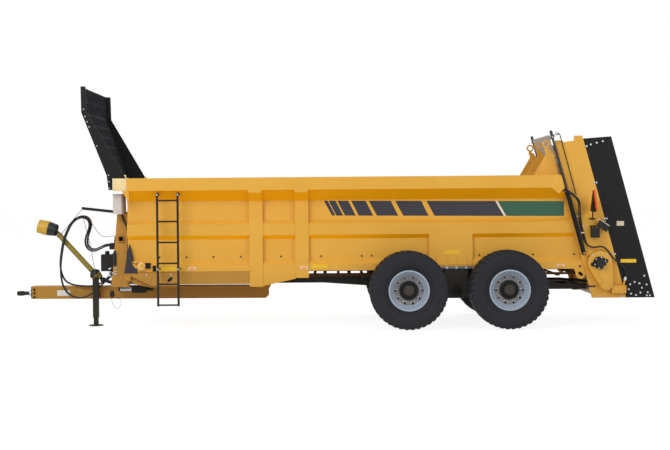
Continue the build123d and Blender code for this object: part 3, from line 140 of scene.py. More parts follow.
def coated(name, tones, patch, rough, grain, bump, metallic=0.0, coat=0.0, specular=0.3, dust=None):
    """A coated or bare surface: two tones in patches, uneven gloss, fine grain, and dust near the ground."""
    material, tree, place, shader = blank_material(name)
    where = {"Vector": (place, "Object")}
    patches = add_node(tree, "ShaderNodeTexNoise", {"Scale": 1 / patch, "Detail": 4.0, "Roughness": 0.6},
                       where)
    mixed = add_node(tree, "ShaderNodeMix", {6: tones[0], 7: tones[1]}, {0: (patches, "Fac")},
                     data_type="RGBA")
    if dust:
        # Dust is thickest 0.1 m over the ground and gone at its top height; specks of about 0.1 m break it up
        code, top, amount = dust
        height = add_node(tree, "ShaderNodeSeparateXYZ", links=where)
        low = add_node(tree, "ShaderNodeMapRange", {"From Min": top, "From Max": 0.1, "To Max": amount},
                       {"Value": (height, "Z")})
        specks = add_node(tree, "ShaderNodeTexNoise", {"Scale": 9.0, "Detail": 8.0, "Roughness": 0.7}, where)
        share = add_node(tree, "ShaderNodeMath", links={0: (low, "Result"), 1: (specks, "Fac")},
                         operation="MULTIPLY")
        mixed = add_node(tree, "ShaderNodeMix", {7: linear(code)}, {0: (share, 0), 6: (mixed, 2)},
                         data_type="RGBA")
    gloss = add_node(tree, "ShaderNodeMapRange", {"To Min": rough[0], "To Max": rough[1]},
                     {"Value": (patches, "Fac")})
    fine = add_node(tree, "ShaderNodeTexNoise", {"Scale": 1 / grain, "Detail": 2.0}, where)
    relief = add_node(tree, "ShaderNodeBump", {"Strength": bump, "Distance": 0.002},
                      {"Height": (fine, "Fac")})
    for socket, output in (("Base Color", mixed.outputs[2]), ("Roughness", gloss.outputs["Result"]),
                           ("Normal", relief.outputs["Normal"])):
        tree.links.new(output, shader.inputs[socket])
    for socket, value in (("Metallic", metallic), ("Coat Weight", coat), ("Coat Roughness", 0.12),
                          ("Specular IOR Level", specular)):
        shader.inputs[socket].default_value = value
    return material


def paint_bounce_light_undersides(material, colour):
    """Turn a paint towards a richer, brighter orange on the faces that look down: painted light bounced up
    from below.
    """
    tree = material.node_tree
    shader = next(node for node in tree.nodes if node.type == "BSDF_PRINCIPLED")
    link = shader.inputs["Base Color"].links[0]
    source = link.from_socket
    # The tone turns between 15 and 37 degrees past upright
    surface = add_node(tree, "ShaderNodeNewGeometry")
    height = add_node(tree, "ShaderNodeSeparateXYZ", links={"Vector": (surface, "Normal")})
    under = add_node(tree, "ShaderNodeMapRange", {"From Min": -0.25, "From Max": -0.6},
                     {"Value": (height, "Z")})
    mixed = add_node(tree, "ShaderNodeMix", {7: colour}, {0: (under, "Result")}, data_type="RGBA")
    tree.links.new(source, mixed.inputs[6])
    tree.links.new(mixed.outputs[2], shader.inputs["Base Color"])

# Columns: finish, its real surface, two tones (a hex code, or a colour that a user may change), size of the
# patches, roughness from and to, size of the grain, strength of the relief, and what else the surface has.
# Dust is its colour, the height where it ends and its amount at the ground
FINISHES = [
    # Two-pack enamel on pressed steel: glossy, with a faint waviness and road dust low down
    ("yellow", "two_pack_yellow_enamel", "body", "body_light", 0.7, (0.34, 0.48), 0.05, 0.06,
     {"coat": 0.08, "specular": 0.2, "dust": ("8A6230", 1.15, 0.75)}),
    # The same enamel in a paler tone, on the pressed cap at the rail's front end
    ("cream", "pale_yellow_enamel", "F3DCA6", "EBCF90", 0.3, (0.34, 0.48), 0.05, 0.04,
     {"coat": 0.08, "specular": 0.2}),
    # The same enamel on the drawbar and the front frame, in darker brown tones: painted shade under the
    # hopper, with road dust low down
    ("shaded_yellow", "yellow_enamel_painted_shade", "C4903A", "B28038", 0.5, (0.4, 0.55), 0.05, 0.06,
     {"specular": 0.2, "dust": ("7A5630", 1.1, 0.6)}),
    # Satin chassis paint: a little dusty, so it reads brown-black
    ("black", "satin_chassis_enamel", "dark", "2A2622", 0.3, (0.45, 0.62), 0.02, 0.08,
     {"specular": 0.2, "dust": ("5E5444", 1.2, 0.25)}),
    # Powder coat: fine orange peel that breaks up its reflections
    ("panel", "black_powder_coat", "panel", "1C1B1D", 0.5, (0.42, 0.55), 0.012, 0.1, {"specular": 0.15}),
    # Acrylic wheel paint over steel, silver with a grey film of dust
    ("rim", "silver_wheel_paint", "rim", "8B8D90", 0.12, (0.4, 0.55), 0.01, 0.05,
     {"metallic": 0.1, "dust": ("7A7468", 1.2, 0.2)}),
    # Vulcanised tyre rubber: matt and grey-black, with dust in it
    ("tyre", "vulcanised_tyre_rubber", "1B1C22", "25262C", 0.08, (0.62, 0.8), 0.004, 0.2,
     {"specular": 0.25, "dust": ("4C463E", 1.4, 0.15)}),
    # Machined and worn steel: bright metal, dulled by handling
    ("steel", "worn_machined_steel", "8F8F8D", "6F6C66", 0.03, (0.3, 0.5), 0.003, 0.1, {"metallic": 1.0}),
    # Zinc-plated fasteners: pale and slightly mottled
    ("zinc", "zinc_plated_steel", "C9CCD0", "A4A9AE", 0.01, (0.25, 0.45), 0.004, 0.05, {"metallic": 0.9}),
    # Hard chrome on the rams' rods, in a dark tone: painted reflection of dark surroundings
    ("chrome", "chrome_rod_painted_dark_reflection", "3C4048", "30343C", 0.1, (0.22, 0.32), 0.02, 0.01, {"metallic": 0.6}),
    # Gloss black enamel on the hubs
    ("hub", "black_hub_enamel", "141414", "1C1B1A", 0.05, (0.45, 0.6), 0.01, 0.08, {"specular": 0.15}),
    # Cast face of the hub cap, greyed by grease and dust
    ("hub_face", "greased_cast_iron", "3A3531", "4A443E", 0.04, (0.6, 0.75), 0.006, 0.15, {"specular": 0.2}),
    # Chain steel left in the weather: brown oxide over dark iron
    ("rust", "oxidised_chain_steel", "6A4526", "3E2C1E", 0.05, (0.7, 0.9), 0.004, 0.4, {"metallic": 0.2}),
    # Pale grey enamel on the slurry door, rubbed by the load
    ("door", "pale_grey_enamel", "door", "A9A294", 0.4, (0.4, 0.55), 0.03, 0.06, {}),
    # Nitrile hose cover: black and slightly sheened
    ("hose", "nitrile_hose_cover", "17171A", "212126", 0.05, (0.4, 0.55), 0.004, 0.1, {}),
    # Blow-moulded polyethylene guards: soft in gloss, olive, yellow or black
    ("guard", "blow_moulded_polyethylene", "8F7F36", "A08F3C", 0.15, (0.35, 0.5), 0.02, 0.06, {}),
    ("guard_yellow", "yellow_moulded_polyethylene", "D9AE45", "D2A53E", 0.2, (0.35, 0.5), 0.02, 0.06, {}),
    ("guard_black", "black_polyethylene_bell", "1A2220", "242A28", 0.1, (0.35, 0.5), 0.02, 0.05, {}),
    # Screen of the headboard: steel strips, weathered to a dull blue-grey
    ("screen", "weathered_wire_screen", "14161A", "1B1E23", 0.12, (0.8, 0.92), 0.01, 0.1, {"specular": 0.08}),
    # Twisted polypropylene sling and thin cable jackets, browned outdoors
    ("cable", "browned_cable_jacket", "8A6A48", "6E5238", 0.05, (0.6, 0.75), 0.006, 0.2, {}),
    # The rim's barrel in bluish white: painted sky light on its silver paint
    ("rim_sky_light", "rim_barrel_painted_sky_light", "AEB8C6", "98A4B4", 0.1, (0.3, 0.42), 0.01, 0.04, {}),
    # Bare rolled steel of the bogie's seats, blued by mill scale
    ("blue_steel", "mill_scale_steel", "6E7888", "5A6270", 0.05, (0.4, 0.55), 0.005, 0.1, {"metallic": 0.4}),
    # Rubber skirts at the body's front corners, purple-grey with dust
    ("skirt", "dusty_rubber_skirt", "34323A", "3E3B42", 0.15, (0.6, 0.75), 0.01, 0.1, {"specular": 0.2}),
    # Blank label of printed vinyl, faded to beige
    ("label", "faded_beige_vinyl", "D8CDB4", "CBBFA4", 0.05, (0.4, 0.5), 0.02, 0.02, {}),
    # Powder-coated sheet of the control cabinet
    ("cabinet", "light_grey_powder_coat", "D4CDC9", "C8C0BC", 0.2, (0.4, 0.5), 0.01, 0.06, {}),
    # Cast vinyl on the side and the plates: even colour with a soft gloss
    ("stripe", "charcoal_cast_vinyl", "stripe", "383840", 0.5, (0.3, 0.4), 0.05, 0.02, {}),
    ("green", "green_cast_vinyl", "green", "336049", 0.5, (0.3, 0.4), 0.05, 0.02, {}),
    ("white", "white_cast_vinyl", "E6E4DC", "DAD8D0", 0.2, (0.35, 0.45), 0.05, 0.02, {}),
    # Lenses of moulded acrylic: clear gloss over small prisms
    ("amber", "amber_acrylic_lens", "FFA400", "F79600", 0.02, (0.1, 0.2), 0.006, 0.3, {"coat": 0.6}),
    ("red", "red_acrylic_lens", "B01510", "C8241A", 0.02, (0.1, 0.2), 0.006, 0.3, {"coat": 0.6}),
    # Fluorescent and reflective films: flat bright colour with a fine texture
    ("orange", "fluorescent_orange_film", "F0501E", "E64A1C", 0.05, (0.3, 0.4), 0.01, 0.05, {}),
    ("strip", "yellow_reflective_film", "E8B80A", "F2C61A", 0.05, (0.25, 0.35), 0.006, 0.1, {"coat": 0.3}),
    # Moulded nylon of the jack's knob: satin red
    ("red_knob", "red_moulded_nylon", "A8201C", "B82A22", 0.02, (0.35, 0.45), 0.01, 0.03, {}),
]


def make_materials(colours):
    """Every finish of the machine, by its short name."""
    made = {}
    for key, name, first, second, patch, rough, grain, bump, extra in FINISHES:
        tones = [getattr(colours, tone) if hasattr(colours, tone) else linear(tone)
                 for tone in (first, second)]
        made[key] = coated(name, tones, patch, rough, grain, bump, **extra)
    # The brighter orange on the undersides is painted bounce light
    paint_bounce_light_undersides(made["yellow"], linear("FFB000"))
    paint_bounce_light_undersides(made["shaded_yellow"], linear("D89020"))
    return made


materials = {}

# The finish of each CAD node that stays in view
NODE_FINISHES = {
    "yellow": ("hopper_side_left", "hopper_side_right", "hopper_front", "rear_frame", "lifting_gussets",
               "floor_gearcase", "hopper_floor", "chain_tensioners"),
    # The drawbar and the front frame take darker tones of painted shade
    "shaded_yellow": ("front_subframe", "drawbar"),
    "black": ("chassis", "walking_beams", "bogie_hangers", "cross_bearers", "beater_gearboxes", "ladder",
              "hose_rack", "hose_arm", "inline_valve", "driveline", "jack_tube", "jack_leg", "corner_guards",
              "hitch_eye", "rear_lamps", "floor_motor", "slow_vehicle_sign"),
    "panel": ("beater_side_panels", "beater_top_beam", "headboard_plates", "headboard_grille",
              "door_ram_barrels", "door_indicator"),
    "steel": ("floor_shafts", "beater_left", "beater_right"),
    "guard_black": ("pto_shaft",),
    "cable": ("pto_chain",),
    # The rods' dark tone is painted reflection
    "chrome": ("door_ram_rods",),
    "rust": ("floor_conveyor",),
    "door": ("slurry_door",),
    "cabinet": ("control_cabinet",),
    "guard": ("pto_guards",),
    "amber": ("side_markers",),
    "tyre": [f"tyre_{wheel}" for wheel in WHEELS],
    "rim": [f"wheel_{wheel}" for wheel in WHEELS],
    "hose": ("hose_low", "hose_high"),
}


def leave_edit():
    """Go back to object mode."""
    if bpy.context.object and bpy.context.object.mode != "OBJECT":
        bpy.ops.object.mode_set(mode="OBJECT")


def take(*pieces):
    """Select only these pieces and make the last one active."""
    leave_edit()
    bpy.ops.object.select_all(action="DESELECT")
    for piece in pieces:
        piece.select_set(True)
    if pieces:
        bpy.context.view_layer.objects.active = pieces[-1]


def settle(piece):
    """Put a piece's place into its mesh, so that its object sits at the origin."""
    take(piece)
    bpy.ops.object.transform_apply(location=True, rotation=True, scale=True)
    return piece


def add_block(low, high):
    """A block between two corners."""
    take()
    size = [b - a for a, b in zip(low, high)]
    middle = [(a + b) / 2 for a, b in zip(low, high)]
    bpy.ops.mesh.primitive_cube_add(size=1, location=middle, scale=size)
    return settle(bpy.context.object)


def add_bar(start, end, radius, sides=20):
    """A round bar between two points."""
    take()
    axis = Vector(end) - Vector(start)
    turn = axis.to_track_quat("Z", "Y").to_euler()
    bpy.ops.mesh.primitive_cylinder_add(
        vertices=sides, radius=radius, depth=axis.length, location=(Vector(start) + Vector(end)) / 2,
        rotation=turn,
    )
    return settle(bpy.context.object)


def turned(outline, steps=48):
    """A turned shape round +Z from a closed outline of (radius, along) points."""
    take()
    bpy.ops.mesh.primitive_circle_add(vertices=len(outline), radius=0.1, fill_type="NOTHING")
    piece = bpy.context.object
    for vertex, (radius, along) in zip(piece.data.vertices, outline):
        vertex.co = (radius, 0, along)
    bpy.ops.object.mode_set(mode="EDIT")
    bpy.ops.mesh.select_all(action="SELECT")
    bpy.ops.mesh.spin(steps=steps, angle=math.tau, center=(0, 0, 0), axis=(0, 0, 1))
    bpy.ops.mesh.select_all(action="SELECT")
    bpy.ops.mesh.remove_doubles(threshold=0.0002)
    bpy.ops.mesh.delete_loose(use_verts=True, use_edges=True, use_faces=False)
    bpy.ops.mesh.select_all(action="SELECT")
    bpy.ops.mesh.normals_make_consistent(inside=False)
    leave_edit()
    return piece


def placed(piece, matrix):
    """Move a piece's mesh by a matrix."""
    piece.data.transform(matrix)
    return piece


def facing(point, normal):
    """The matrix that stands a piece made along +Z on a surface."""
    turn = Vector(normal).to_track_quat("Z", "Y").to_matrix().to_4x4()
    return Matrix.Translation(point) @ turn


def lathe(outline, point, normal, steps=48):
    """A turned shape that stands on a point, along a normal."""
    return placed(turned(outline, steps), facing(point, normal))


def plate(outline, y0, y1):
    """A flat plate cut to an (x, z) outline, between two y."""
    take()
    bpy.ops.mesh.primitive_circle_add(vertices=len(outline), radius=0.1, fill_type="NGON")
    piece = bpy.context.object
    for vertex, (x, z) in zip(piece.data.vertices, outline):
        vertex.co = (x, y0, z)
    bpy.ops.object.mode_set(mode="EDIT")
    bpy.ops.mesh.select_all(action="SELECT")
    bpy.ops.mesh.extrude_region_move(TRANSFORM_OT_translate={"value": (0, y1 - y0, 0)})
    bpy.ops.mesh.select_all(action="SELECT")
    bpy.ops.mesh.normals_make_consistent(inside=False)
    leave_edit()
    return piece


def line_curve(name, route, radius, rings=4):
    """A round line along a smooth curve through a route's points."""
    curve = bpy.data.curves.new(name, "CURVE")
    curve.dimensions = "3D"
    spline = curve.splines.new("NURBS")
    spline.points.add(len(route) - 1)
    for point, place in zip(spline.points, route):
        point.co = (*place, 1)
    spline.order_u = 3
    spline.use_endpoint_u = True
    spline.resolution_u = 8
    curve.bevel_depth = radius
    curve.bevel_resolution = rings
    curve.use_fill_caps = True
    line = bpy.data.objects.new(name, curve)
    bpy.context.scene.collection.objects.link(line)
    return line


def clipped_line(route, radius):
    """A line that clips hold along its whole run, as a mesh."""
    line = line_curve("clipped_line", route, radius, 2)
    take(line)
    bpy.ops.object.convert(target="MESH")
    return bpy.context.object


def pick(piece, test):
    """In edit mode, select the faces whose middle and normal pass a test."""
    take(piece)
    bpy.ops.object.mode_set(mode="EDIT")
    bpy.ops.mesh.select_mode(type="FACE")
    bpy.ops.mesh.select_all(action="DESELECT")
    shape = bmesh.from_edit_mesh(piece.data)
    for face in shape.faces:
        if test(face.calc_center_median(), face.normal):
            face.select_set(True)
    bmesh.update_edit_mesh(piece.data)


def soften(piece, width, segments=2):
    """Round the sharp edges with a bevel and apply it."""
    take(piece)
    bevel = piece.modifiers.new("edge", "BEVEL")
    bevel.width = width
    bevel.segments = segments
    bevel.limit_method = "ANGLE"
    bpy.ops.object.modifier_apply(modifier=bevel.name)
    return piece


def twin_plates(outline, near, far, edge=0, segments=1):
    """A plate on each side of the machine, between two distances from its middle."""
    made = [plate(outline, low, high) for low, high in ((-far, -near), (near, far))]
    return [soften(piece, edge, segments) for piece in made] if edge else made


def twin_blocks(low, high, edge=0, segments=2):
    """A block on each side of the machine, from the two corners of the right-hand one."""
    made = []
    for inner, outer in ((-high[1], -low[1]), (low[1], high[1])):
        piece = add_block((low[0], inner, low[2]), (high[0], outer, high[2]))
        made.append(soften(piece, edge, segments) if edge else piece)
    return made


def circle(x, z, radius, angles):
    """The (x, z) points of a circle at angles in radians."""
    return [(x + radius * math.cos(angle), z + radius * math.sin(angle)) for angle in angles]


def joined(pieces):
    """Join pieces into one."""
    take(*pieces)
    if len(pieces) > 1:
        bpy.ops.object.join()
    return bpy.context.object


def copies(master, places):
    """Copies of a piece, each with its own mesh, at a list of matrices; the master goes."""
    made = []
    for place in places:
        copy = master.copy()
        copy.data = master.data.copy()
        copy.data.transform(place)
        bpy.context.scene.collection.objects.link(copy)
        made.append(copy)
    bpy.data.objects.remove(master)
    return made


def finish(pieces, name, finish_name, body="machine", smooth=35):
    """Join pieces, name the result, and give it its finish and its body."""
    piece = settle(joined(pieces))
    bpy.ops.object.shade_smooth_by_angle(angle=math.radians(smooth))
    piece.name = name
    piece.data.name = name
    piece.data.materials.clear()
    piece.data.materials.append(materials[finish_name])
    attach(piece, body)
    return piece


def on_wheels(master, name, finish_name, smooth=35):
    """A copy of a piece on each wheel, riding it, by the wheel's name."""
    places = []
    for x, sign in WHEELS.values():
        turn = Matrix.Rotation(math.pi if sign < 0 else 0, 4, "Z")
        places.append(Matrix.Translation((x, sign * TYRE_MID_Y, AXLE_Z)) @ turn)
    made = {}
    for wheel, copy in zip(WHEELS, copies(master, places)):
        made[wheel] = finish([copy], f"{name}_{wheel}", finish_name, f"wheel_{wheel}", smooth)
    return made


def bolt_head(across, height, washer=0.003):
    """A hexagon head on a washer, standing on the origin along +Z."""
    chamfer = across * 0.08
    crown = across * 0.05
    washer_radius = across * 0.66
    head = add_bar((0, 0, washer), (0, 0, washer + height), across / math.sqrt(3), sides=6)
    pick(head, lambda middle, normal: normal.z > 0.9)
    bpy.ops.mesh.inset(thickness=chamfer)
    bpy.ops.transform.translate(value=(0, 0, crown))
    ring = add_bar((0, 0, 0), (0, 0, washer), washer_radius, sides=14)
    return joined([ring, head])


def bolt_row(name, places, across, finish_name="zinc"):
    """Bolt heads at (point, normal) places, as one piece."""
    heads = copies(bolt_head(across, across * 0.55), [facing(point, normal) for point, normal in places])
    return finish(heads, name, finish_name, smooth=30)


def mirrored(y, spots):
    """(x, z) spots on both sides, at a distance from the middle, each with its outward normal."""
    return [((x, sign * y, z), (0, sign, 0)) for sign in (-1, 1) for x, z in spots]


class SPREADER_OT_finishes(bpy.types.Operator):
    """Give every CAD node its paint, rubber or metal"""

    bl_idname = "spreader.finishes"
    bl_label = "Paint the frame"

    def execute(self, context):
        materials.update(make_materials(context.scene.spreader_colours))
        for finish_name, nodes in NODE_FINISHES.items():
            for node in nodes:
                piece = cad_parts[node]
                piece.data.materials.clear()
                piece.data.materials.append(materials[finish_name])
        return {"FINISHED"}


class SPREADER_OT_tyres(bpy.types.Operator):
    """Model one tyre with its lugs and copy it to the four wheels"""

    bl_idname = "spreader.tyres"
    bl_label = "Tyres"

    def execute(self, context):
        count = context.scene.spreader_sizes.lug_pairs
        pitch = math.tau / count
        # Columns: radius, distance across from the tyre's middle; from the bead over the crown
        section = [(0.3555, 0.236), (0.372, 0.252), (0.4, 0.278), (0.44, 0.297), (0.49, 0.3065),
                   (0.54, 0.3085), (0.58, 0.306), (0.612, 0.298), (0.636, 0.288), (0.654, 0.272),
                   (0.664, 0.245), (0.667, 0.15), (0.668, 0.075)]
        crown = (0.6685, 0.0)
        carcass = lathe([*section, crown, *((r, -y) for r, y in reversed(section))], HUB, OUTWARD, 96)
        # A shoulder lug: a bar that narrows towards the crown and whose outer end slopes over the shoulder
        lug = add_block((-0.032, 0.105, 0.64), (0.032, 0.278, 0.6805))
        pick(lug, lambda middle, normal: normal.y > 0.9)
        bpy.ops.transform.translate(value=(0, 0, -0.01))
        bpy.ops.mesh.extrude_region_move(TRANSFORM_OT_translate={"value": (0, 0.021, -0.034)})
        bpy.ops.transform.resize(value=(0.8, 1, 0.8))
        pick(lug, lambda middle, normal: normal.y < -0.9)
        bpy.ops.transform.resize(value=(0.7, 1, 1))
        soften(lug, 0.004)
        skew = Matrix.Rotation(math.radians(10), 4, "Z")
        flip = Matrix.Rotation(math.pi, 4, "Z")
        places = []
        for k in range(count):
            places.append(Matrix.Rotation(k * pitch, 4, "Y") @ skew)
            places.append(Matrix.Rotation((k + 0.5) * pitch, 4, "Y") @ flip @ skew)
        pieces = copies(lug, places)
        # Middle blocks of the tread
        block = soften(add_block((-0.03, -0.085, 0.64), (0.03, 0.085, 0.68)), 0.005)
        pieces += copies(block, [Matrix.Rotation(k * pitch, 4, "Y") for k in range(count)])
        # Raised rings on the sidewall: radius, distance across, thickness
        for radius, across, wire in ((0.425, 0.293, 0.006), (0.56, 0.304, 0.005)):
            for side in (-1, 1):
                take()
                bpy.ops.mesh.primitive_torus_add(
                    major_radius=radius, minor_radius=wire, major_segments=72, minor_segments=6,
                    location=(0, side * across, 0), rotation=(math.pi / 2, 0, 0),
                )
                pieces.append(settle(context.object))
        tyre = joined([*pieces, carcass])
        for wheel, tread in on_wheels(tyre, "tread", "tyre", smooth=40).items():
            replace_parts(tread, f"tyre_{wheel}")
        return {"FINISHED"}


class SPREADER_OT_wheel_trim(bpy.types.Operator):
    """Add the wheel nuts, hub caps, air valves, and skins of painted sky light over the barrels"""

    bl_idname = "spreader.wheel_trim"
    bl_label = "Wheel nuts"

    def execute(self, context):
        count = 10
        nut_circle = 0.225
        disc_face = 0.1375
        spots = [Matrix.Rotation(k * math.tau / count, 4, "Y") @ facing((nut_circle, disc_face, 0), OUTWARD)
                 for k in range(count)]
        nuts = copies(bolt_head(0.034, 0.026, washer=0.004), spots)
        # In (radius, along) points: the black cover round the hub's neck, and the stepped face of the cap
        cover = lathe([(0.093, 0.134), (0.166, 0.134), (0.166, 0.146), (0.158, 0.153), (0.112, 0.157),
                       (0.108, 0.186), (0.093, 0.19)], HUB, OUTWARD)
        cap = lathe([(0, 0.194), (0.091, 0.194), (0.094, 0.2), (0.09, 0.214), (0.074, 0.222),
                     (0.07, 0.228), (0.054, 0.228), (0.05, 0.222), (0, 0.222)], HUB, OUTWARD)
        # Pale seats under the nuts, and the air valve
        seat = turned([(0.012, -0.003), (0.027, -0.003), (0.027, 0), (0.024, 0.002), (0.012, 0.002)], 20)
        valve = lathe([(0, 0), (0.008, 0), (0.008, 0.03), (0.005, 0.034), (0.005, 0.05), (0, 0.05)],
                      (0.075, 0.134, 0.236), (0.1, 1, 0.25), 12)
        # Pale skin over the barrel of the rim: painted sky light
        barrel = lathe([(0.353, 0.2492), (0.353, 0.2506), (0.3315, 0.2506), (0.2988, 0.2058),
                        (0.2748, 0.145), (0.26, 0.1362), (0.26, 0.1348), (0.2762, 0.1436),
                        (0.3002, 0.2044), (0.3322, 0.2492)], HUB, OUTWARD, 72)
        for name, finish_name, pieces in (("nuts", "hub", [*nuts, cover]), ("cap", "hub_face", [cap]),
                                          ("seats", "zinc", [*copies(seat, spots), valve]),
                                          ("barrel", "rim_sky_light", [barrel])):
            on_wheels(joined(pieces), f"wheel_{name}", finish_name)
        return {"FINISHED"}


class SPREADER_OT_stripes(bpy.types.Operator):
    """Lay the charcoal stripes, the white slash and the green band on both sides"""

    bl_idname = "spreader.stripes"
    bl_label = "Side stripes"

    def execute(self, context):
        thick = context.scene.spreader_sizes.decal_thickness
        # Height of the lower and the upper edge over the middle, and their fall towards the rear
        heights = (1.976, 2.238)
        slope = -0.0098
        # Columns: x of the top edge's two ends, x of the bottom edge's two ends
        stripes = [(-0.074, -0.005, 0.069, 0.128), (0.01, 0.133, 0.144, 0.267), (0.165, 0.356, 0.297, 0.49),
                   (0.409, 0.665, 0.54, 0.796), (0.72, 1.107, 0.863, 1.24), (1.187, 1.647, 1.328, 1.775),
                   (1.74, 2.953, 1.88, 3.103)]
        sets = (("stripes", "stripe", stripes), ("slash", "white", [(2.957, 2.994, 3.107, 3.144)]),
                ("band", "green", [(2.999, 4.168, 3.149, 4.167)]))
        for side, sign in SIDES.items():
            inner, outer = sorted((sign * WALL_Y, sign * (WALL_Y + thick)))
            for name, finish_name, shapes in sets:
                parts = []
                for top_a, top_b, low_a, low_b in shapes:
                    corners = {(0, 1): top_a, (1, 1): top_b, (0, 0): low_a, (1, 0): low_b}
                    part = add_block((0, inner, 0), (1, outer, 1))
                    for vertex in part.data.vertices:
                        level = round(vertex.co.z)
                        x = corners[(round(vertex.co.x), level)]
                        vertex.co.x, vertex.co.z = x, heights[level] + slope * x
                    parts.append(part)
                finish(parts, f"{name}_{side}", finish_name)
        return {"FINISHED"}


class SPREADER_OT_bolts(bpy.types.Operator):
    """Set the bolts of the hopper, drawbar, bogie and rear end"""

    bl_idname = "spreader.bolts"
    bl_label = "Bolts"

    def execute(self, context):
        across = context.scene.spreader_sizes.bolt_across
        wall = (-2.99, -2.511, -2.036, -1.552, -0.839, -0.129, 0.587, 0.765, 1.715, 2.667, 3.616, 4.343)
        bolt_row("wall_bolts", mirrored(WALL_Y, [(x, 1.259) for x in wall]), across * 0.8, "black")
        drawbar = [(-5.398, z) for z in (0.646, 0.58, 0.51)]
        bolt_row("drawbar_bolts", mirrored(0.125, drawbar), across * 1.1, "black")
        # Bare seat strips of the bogie, each with three bright bolts
        seat_y = 0.9145
        seats = twin_blocks((1.99, seat_y - 0.003, 1.023), (2.54, seat_y, 1.058), 0.001, 1)
        finish(seats, "bogie_seats", "blue_steel")
        bolt_row("bogie_bolts", mirrored(seat_y, [(x, 1.04) for x in (2.089, 2.256, 2.425)]), across)
        flange = [(4.688, 2.521), (4.724, 2.521), (4.866, 1.887), (4.902, 1.887), (5.011, 1.262),
                  (5.047, 1.262), (4.767, 0.517), (5.164, 0.514)]
        bolt_row("frame_bolts", mirrored(FRAME_Y, flange), across * 0.75)
        headboard = [(-4.237, 3.862), (-4.21, 3.738), (-4.179, 3.645), (-4.143, 3.557), (-4.013, 3.223),
                     (-3.817, 2.713), (-3.811, 2.6), (-3.806, 2.482)]
        bolt_row("headboard_bolts", mirrored(RAIL_Y, headboard), across * 0.6)
        tensioner = mirrored(0.941, [(-3.396, 1.182)]) + mirrored(0.947, [(-3.256, 1.14)])
        tensioner += mirrored(0.908, [(-3.211, 0.955), (-2.783, 0.952)])
        bolt_row("tensioner_bolts", tensioner, across * 0.8)
        ladder = [((x, -1.183, z), (0, -1, 0)) for x in (-2.97, -2.614) for z in (2.365, 1.066)]
        bolt_row("ladder_bolts", ladder, across * 0.8)
        bolt_row("lamp_bolts", mirrored(FRAME_Y, [(4.484, 1.754)]), across * 0.7)
        # The floor drive's motor and its case: x, y and z of the middle, radius, and the bolts' angles
        sixths = [k * math.tau / 6 + 0.3 for k in range(6)]
        motor = []
        for x, y, z, radius, angles in ((4.744, -1.105, 1.118, 0.093, sixths),
                                        (4.757, -1.045, 1.109, 0.19, (0.4, 0.9, 1.6, 2.3, 2.9))):
            motor += [((a, y, b), (0, -1, 0)) for a, b in circle(x, z, radius, angles)]
        bolt_row("motor_bolts", motor, across * 0.7)
        cover = circle(5.401, 0.649, 0.1165, [k * math.tau / 8 + 0.1 for k in range(8)])
        foot = [(5.559, 0.873), (5.599, 0.719), (5.62, 0.582), (5.604, 0.524), (5.657, 0.527)]
        top = [(4.548, 3.158), (4.623, 3.189), (4.725, 3.218), (4.832, 3.245)]
        bolt_row("panel_bolts", mirrored(FRAME_Y, cover + foot) + mirrored(0.928, top), across * 0.9)
        return {"FINISHED"}


class SPREADER_OT_reflectors(bpy.types.Operator):
    """Stick the yellow reflective strips and the blank plates on"""

    bl_idname = "spreader.reflectors"
    bl_label = "Reflective strips"

    def execute(self, context):
        half_length = 0.138
        half_height = 0.031
        film = 0.0015
        strips = []
        for x, y, z in ((-2.828, SILL_Y, 1.053), (-0.154, SILL_Y, 1.083), (2.173, SILL_Y, 1.314),
                        (5.281, FRAME_Y, 1.138)):
            strips += twin_blocks((x - half_length, y, z - half_height),
                                  (x + half_length, y + film, z + half_height))
        finish(strips, "reflective_strips", "strip")
        blank = soften(add_block((-4.981, -0.1275, 0.531), (-4.742, -0.125, 0.635)), 0.001, 1)
        finish([blank], "blank_plate", "white")
        labels = twin_blocks((5.077, 0.9195, 1.758), (5.205, 0.9215, 1.84), 0.0006, 1)
        finish(labels, "blank_labels", "label")
        return {"FINISHED"}


